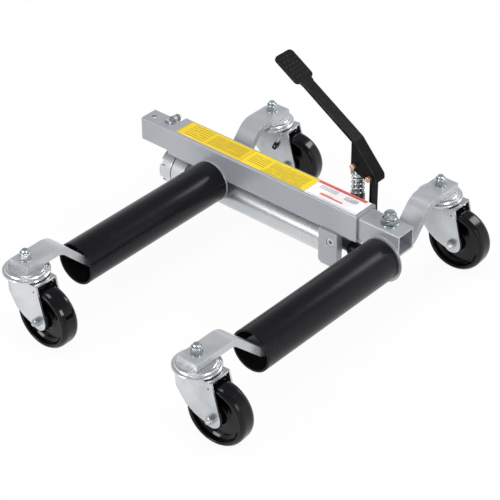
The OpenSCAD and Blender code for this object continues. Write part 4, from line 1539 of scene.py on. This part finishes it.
@dataclass
class PumpUnit:
    """The block under the sleeve with the foot pump, its plunger, spring and valve."""

    palette: Palette
    dresser: Dresser
    foot_height: float = 7.0
    foot_flats: float = 26.0
    radius: float = 12.0
    bore: float = 8.56
    pin_radius: float = 4.0
    pin_head: float = 6.5
    stroke: float = 22.2

    def build(self) -> None:
        """Dresses the block, post and plunger, and makes the turned pieces."""
        self.dresser.dress("pump_block", self.palette.beam, EdgeWork(1.0, 3))
        self.dresser.dress("pivot_post", self.palette.pedal, EdgeWork(0.6))
        self.dresser.dress("plunger", self.palette.bolt, EdgeWork(0.5))
        self.dresser.dress("release_valve", self.palette.bolt, EdgeWork(0.4))
        self.spring()
        self.barrel()
        self.pin("pivot_pin", "frame")
        self.pin("plunger_pin", "pedal")

    def spring(self) -> None:
        """Rounds the node's coarse wire."""
        node = self.dresser.dress("return_spring", self.palette.spring, None)
        weld = node.modifiers.new("weld", "WELD")
        weld.merge_threshold = 1e-5
        quads = node.modifiers.new("round_wire", "SUBSURF")
        quads.levels = 2
        quads.render_levels = 2
        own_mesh(node)

    def barrel(self) -> None:
        """Makes the pump barrel on its hexagonal foot, with a gland ring at the top."""
        low, high = corners("pump_barrel")
        centre = middle("pump_barrel")
        frame = pointing(Axis.Z, (centre.x, centre.y, 0.0))
        foot = low.z + self.foot_height
        form = Shaper("pump_barrel_body").coat(self.palette.pump)
        form.hexagon(frame, low.z, foot, self.foot_flats, self.bore)
        loop = [(self.bore, foot - 0.2), (self.radius, foot - 0.2), (self.radius, high.z - 6),
                (self.radius - 0.8, high.z - 5.5), (self.radius - 0.8, high.z - 4.5),
                (self.radius, high.z - 4), (self.radius, high.z), (self.bore, high.z)]
        form.lathe(softened(loop, 0.5, True, 3), frame, True)
        form.piece("frame", Slot.PUMP, ["pump_barrel"])

    def pin(self, node: str, body: str) -> None:
        """Makes a pin with a head at its front and a retaining ring at its back.

        Args:
            node: The node that it stands for.
            body: The body that it rides on.
        """
        low, high = corners(node)
        centre = middle(node)
        radius = (high.z - low.z) / 2
        frame = pointing(Axis.Y, (centre.x, 0.0, centre.z))
        form = Shaper(f"{node}_turned").coat(self.palette.copper)
        form.rod(frame, low.y, low.y + self.pin_head, radius, 1.1, 48)
        form.rod(frame, low.y + self.pin_head - 1, high.y, self.pin_radius, 0.9, 48)
        ring = high.y - 2.6
        form.pipe(frame, ring, ring + 1.0, self.pin_radius + 1.4, self.pin_radius - 0.3, 0.3, 48)
        form.piece(body, Slot.PIN, [node])


@dataclass
class FootPedal:
    """The foot pedal, with the studs on its tread and the flare where the tread meets the lever."""

    palette: Palette
    dresser: Dresser
    slope: float = 31.4
    tread: float = 4.0
    pad_length: float = 59.0
    pad_width: float = 42.0
    lever_width: float = 23.5
    stud_radius: float = 1.25
    stud_height: float = 0.55
    rows: int = 6
    columns: int = 4
    margin: float = 8.5
    stagger: float = 1.6
    flare: float = 3.6

    def build(self) -> None:
        """Dresses the pedal and adds the studs and the flares."""
        # The pedal's thin light edge lines are painted highlight from its finish's edge colour.
        self.dresser.dress("foot_pedal", self.palette.pedal, EdgeWork(0.8, 3))
        frame = self.tread_frame()
        self.studs(frame)
        self.flares(frame)

    def tread_frame(self) -> Matrix:
        """Returns a frame at the tread's far end, with x down the lever and z out of the tread."""
        low, high = corners("foot_pedal")
        lean = math.radians(self.slope)
        centre_y = (low.y + high.y) / 2
        half = self.tread / 2
        far = Vector((low.x + math.sin(lean) * half, centre_y, high.z - math.cos(lean) * half))
        return Matrix.Translation(far) @ Matrix.Rotation(lean, 4, "Y")

    def studs(self, frame: Matrix) -> None:
        """Makes the low round studs that keep a shoe from slipping.

        Args:
            frame: The tread's frame.
        """
        form = Shaper("tread_studs").coat(self.palette.stud)
        top = self.tread / 2
        run = self.pad_length - 2 * self.margin - 3
        across = self.pad_width - 2 * self.margin
        for i in range(self.rows):
            for j in range(self.columns):
                x = self.margin + run * i / (self.rows - 1)
                y = across * (j / (self.columns - 1) - 0.5)
                y += self.stagger if i % 2 else -self.stagger
                spot = frame @ Matrix.Translation((x, y, top))
                dome = [(self.stud_radius, -0.3), (self.stud_radius, 0.1),
                        (self.stud_radius * 0.7, self.stud_height * 0.8), (0.0, self.stud_height)]
                form.lathe([(0.0, -0.3), *dome], spot, segments=14)
        form.piece("pedal", Slot.PEDAL, sharp=60)

    def flares(self, frame: Matrix) -> None:
        """Makes the small round flares in the two corners between tread and lever.

        Args:
            frame: The tread's frame.
        """
        form = Shaper("tread_flares").coat(self.palette.pedal)
        half = self.lever_width / 2 + 1.2
        start = self.pad_length - 0.6
        top = self.tread / 2 - 0.25
        for way in (-1.0, 1.0):
            arc = []
            for k in range(9):
                a = math.pi / 2 * k / 8
                x = start + self.flare * (1 - math.sin(a))
                y = half + self.flare * (1 - math.cos(a))
                arc.append((x, way * y))
            outline = [(start, way * (half - 1)), (start + self.flare, way * (half - 1)), *arc]
            form.prism(outline, frame, -top, top)
        form.piece("pedal", Slot.PEDAL, bevel=0.4)


@dataclass
class SwivelLock:
    """The small lock lever on the back left fork, with its grip."""

    palette: Palette
    dresser: Dresser
    wire: float = 1.3
    length: float = 23.5
    lean: float = 24.0
    pin: float = 1.5
    grip_size: Place = (8.0, 5.5, 12.0)

    def build(self) -> None:
        """Makes the lever and its grip."""
        frame = self.pivot_frame()
        self.lever(frame)
        self.grip(frame)

    def pivot_frame(self) -> Matrix:
        """Returns a frame on the lever's ball end, with z up along the leaning wire."""
        pin = middle("back_left_wheel")
        races_low, races_high = corners("left_races")
        reach = (races_high.x - races_low.x) / 2
        king = Vector(((races_low.x + races_high.x) / 2, races_high.y - reach, 0.0))
        heading = math.atan2(pin.y - king.y, pin.x - king.x)
        _, high = corners("lock_lever")
        height = high.z - self.pin - 0.6
        local = Matrix.Translation((31.0, -24.6, 0.0))
        upright = Matrix.Translation((king.x, king.y, height)) @ Matrix.Rotation(heading, 4, "Z")
        return upright @ local @ Matrix.Rotation(math.radians(self.lean), 4, "Y")

    def lever(self, frame: Matrix) -> None:
        """Makes the wire with its rounded top and the pin through the fork's leg.

        Args:
            frame: The pivot's frame.
        """
        form = Shaper("lock_lever_wire").coat(self.palette.bolt)
        path = [Vector((0.0, 0.0, z)) for z in (1.9, 1.5, 0.0, -self.length * 0.5, -self.length)]
        radii = [0.9, 1.9, 2.0, self.wire, self.wire]
        form.sweep([frame @ p for p in path], radii)
        unlean = frame @ Matrix.Rotation(-math.radians(self.lean), 4, "Y")
        turned = unlean @ Matrix.Rotation(-math.pi / 2, 4, "X")
        form.rod(turned, 0.0, 7.6, self.pin, 0.3, 32)
        form.piece("lock", Slot.LEVER, ["lock_lever"], sharp=50)

    def grip(self, frame: Matrix) -> None:
        """Makes the moulded grip with shallow ribs and a bright rivet.

        Args:
            frame: The pivot's frame.
        """
        wide, deep, tall = self.grip_size
        top = -self.length + 5
        form = Shaper("lock_grip_block").coat(self.palette.grip)
        outline = softened([(-wide / 2, -deep / 2 - 1), (wide / 2, -deep / 2 - 1), (wide / 2, deep / 2 - 1),
                            (-wide / 2, deep / 2 - 1)], 1.6, True, 4)
        rings = []
        for share, swell in ((0.0, 0.86), (0.06, 0.97), (0.25, 1.0), (0.3, 0.94), (0.35, 1.0),
                             (0.5, 1.0), (0.55, 0.94), (0.6, 1.0), (0.94, 0.97), (1.0, 0.86)):
            z = top - tall + tall * share
            rings.append([frame @ Vector((x * swell, (y + 1) * swell - 1, z)) for x, y in outline])
        form.skin(rings)
        form.coat(self.palette.bolt)
        rivet = frame @ Matrix.Translation((0.0, -deep / 2 - 1, top - tall * 0.42))
        form.rod(rivet @ Matrix.Rotation(math.pi / 2, 4, "X"), -0.6, 0.35, 1.3, 0.3, 24)
        form.piece("lock", Slot.GRIP, ["lock_grip"], sharp=45)


# Studio


@dataclass(frozen=True)
class Softbox:
    """One large soft lamp."""

    name: str
    place: Place
    size: float
    power: float
    target: Place = (0.0, -0.05, 0.08)


@dataclass
class Studio:
    """Pale floor, plain sky, soft lamps and the camera."""

    camera_place: Place = (1.7798, -1.9722, 1.9214)
    camera_target: Place = (-0.0049, 0.0727, 0.0289)
    camera_roll: float = -0.24
    lens: float = 145.25
    floor_side: float = 60.0
    lamps: tuple[Softbox, ...] = (
        Softbox("front_softbox", (-0.9, -3.0, 1.5), 1.2, 56.0),
        Softbox("right_softbox", (3.0, -0.2, 1.7), 1.0, 40.0),
        Softbox("back_softbox", (1.1, 3.0, 2.2), 1.1, 34.0),
        Softbox("top_softbox", (-0.4, -0.2, 3.4), 1.0, 25.0))
    floor_white: float = 0.93

    def build(self) -> None:
        """Makes the floor, world, lamps and camera."""
        self.floor()
        self.world()
        for lamp in self.lamps:
            self.lamp(lamp)
        self.camera()
        scene = bpy.context.scene
        scene.view_settings.view_transform = "Standard"
        LOG.info("studio with %d lamps", len(self.lamps))

    def seen(self, wiring: Wiring) -> bpy.types.NodeSocket:
        """Returns a mask of the rays that show the background.

        Args:
            wiring: The floor's or world's wiring.

        Returns:
            The mask of camera, glossy and transmission rays.
        """
        path = wiring.add("ShaderNodeLightPath")
        mask = wiring.math("ADD", path.outputs["Is Camera Ray"], path.outputs["Is Glossy Ray"])
        return wiring.math("ADD", mask, path.outputs["Is Transmission Ray"], clamp=True)

    def floor(self) -> None:
        """Makes the plain floor, which keeps a soft shadow on white."""
        half = self.floor_side / 2
        form = bmesh.new()
        points = [(-half, -half, 0.0), (half, -half, 0.0), (half, half, 0.0), (-half, half, 0.0)]
        form.faces.new([form.verts.new(p) for p in points])
        data = bpy.data.meshes.new("floor")
        form.to_mesh(data)
        form.free()
        floor = bpy.data.objects.new("floor", data)
        bpy.context.scene.collection.objects.link(floor)
        material = bpy.data.materials.new("pale_floor")
        material.use_nodes = True
        wiring = Wiring(material.node_tree)
        shader = material.node_tree.nodes["Principled BSDF"]
        sink = material.node_tree.nodes["Material Output"]
        shader.inputs["Base Color"].default_value = (0.86, 0.86, 0.86, 1.0)
        shader.inputs["Roughness"].default_value = 0.9
        shader.inputs["Specular IOR Level"].default_value = 0.1
        white = wiring.add("ShaderNodeEmission")
        white.inputs["Color"].default_value = (1.0, 1.0, 1.0, 1.0)
        share = wiring.math("MULTIPLY", self.seen(wiring), self.floor_white)
        mix = wiring.add("ShaderNodeMixShader")
        wiring.put(mix.inputs[0], share)
        wiring.put(mix.inputs[1], shader.outputs[0])
        wiring.put(mix.inputs[2], white.outputs[0])
        wiring.put(sink.inputs["Surface"], mix.outputs[0])
        data.materials.append(material)

    def world(self) -> None:
        """Makes the sky: white at the horizon and greyer overhead."""
        world = bpy.data.worlds.new("studio_sky")
        world.use_nodes = True
        bpy.context.scene.world = world
        wiring = Wiring(world.node_tree)
        back = world.node_tree.nodes["Background"]
        place = wiring.add("ShaderNodeTexCoord").outputs["Generated"]
        split = wiring.add("ShaderNodeSeparateXYZ")
        wiring.put(split.inputs[0], place)
        overhead = wiring.ramp(split.outputs["Z"], 0.12, 0.75)
        sky = wiring.blend(overhead, (1.0, 1.0, 1.0), (0.34, 0.35, 0.36))
        colour = wiring.blend(self.seen(wiring), (0.54, 0.54, 0.55), sky)
        wiring.put(back.inputs["Color"], colour)
        back.inputs["Strength"].default_value = 1.0

    def lamp(self, lamp: Softbox) -> None:
        """Adds one soft lamp that points at its target.

        Args:
            lamp: The lamp's place, size and power.
        """
        data = bpy.data.lights.new(lamp.name, "AREA")
        data.shape = "SQUARE"
        data.size = lamp.size
        data.energy = lamp.power
        made = bpy.data.objects.new(lamp.name, data)
        made.location = lamp.place
        aim = Vector(lamp.target) - Vector(lamp.place)
        made.rotation_euler = aim.to_track_quat("-Z", "Y").to_euler()
        bpy.context.scene.collection.objects.link(made)

    def camera(self) -> None:
        """Adds the camera at the photograph's place."""
        data = bpy.data.cameras.new("camera")
        data.lens = self.lens
        data.sensor_width = 36.0
        data.clip_start = 0.05
        data.clip_end = 200.0
        made = bpy.data.objects.new("camera", data)
        aim = Vector(self.camera_target) - Vector(self.camera_place)
        turn = aim.to_track_quat("-Z", "Y").to_matrix().to_4x4()
        roll = Matrix.Rotation(math.radians(self.camera_roll), 4, "Z")
        made.matrix_world = Matrix.Translation(Vector(self.camera_place)) @ turn @ roll
        bpy.context.scene.collection.objects.link(made)
        bpy.context.scene.camera = made


def main() -> None:
    """Builds every sub-assembly in order."""
    logging.basicConfig(level=logging.INFO, format="%(name)s: %(message)s")
    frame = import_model()
    palette = Palette()
    dresser = Dresser(frame["nodes"])
    Studio().build()
    Beam(palette, dresser).build()
    for side, body in ((Side.LEFT, "frame"), (Side.RIGHT, "right_arm")):
        RollerArm(side, body, palette, dresser).build()
        KingpinPair(side, body, palette, dresser).build()
    for place in ("front_left", "front_right", "back_left", "back_right"):
        Caster(place, palette, dresser).build()
    ArmFixings(palette, dresser).build()
    Ram(palette, dresser).build()
    PumpUnit(palette, dresser).build()
    FootPedal(palette, dresser).build()
    SwivelLock(palette, dresser).build()
    bare = sorted(n for n, o in frame["nodes"].items() if n not in dresser.done and not o.hide_render)
    LOG.info("nodes still bare: %s", bare)


if __name__ == "__main__":
    main()
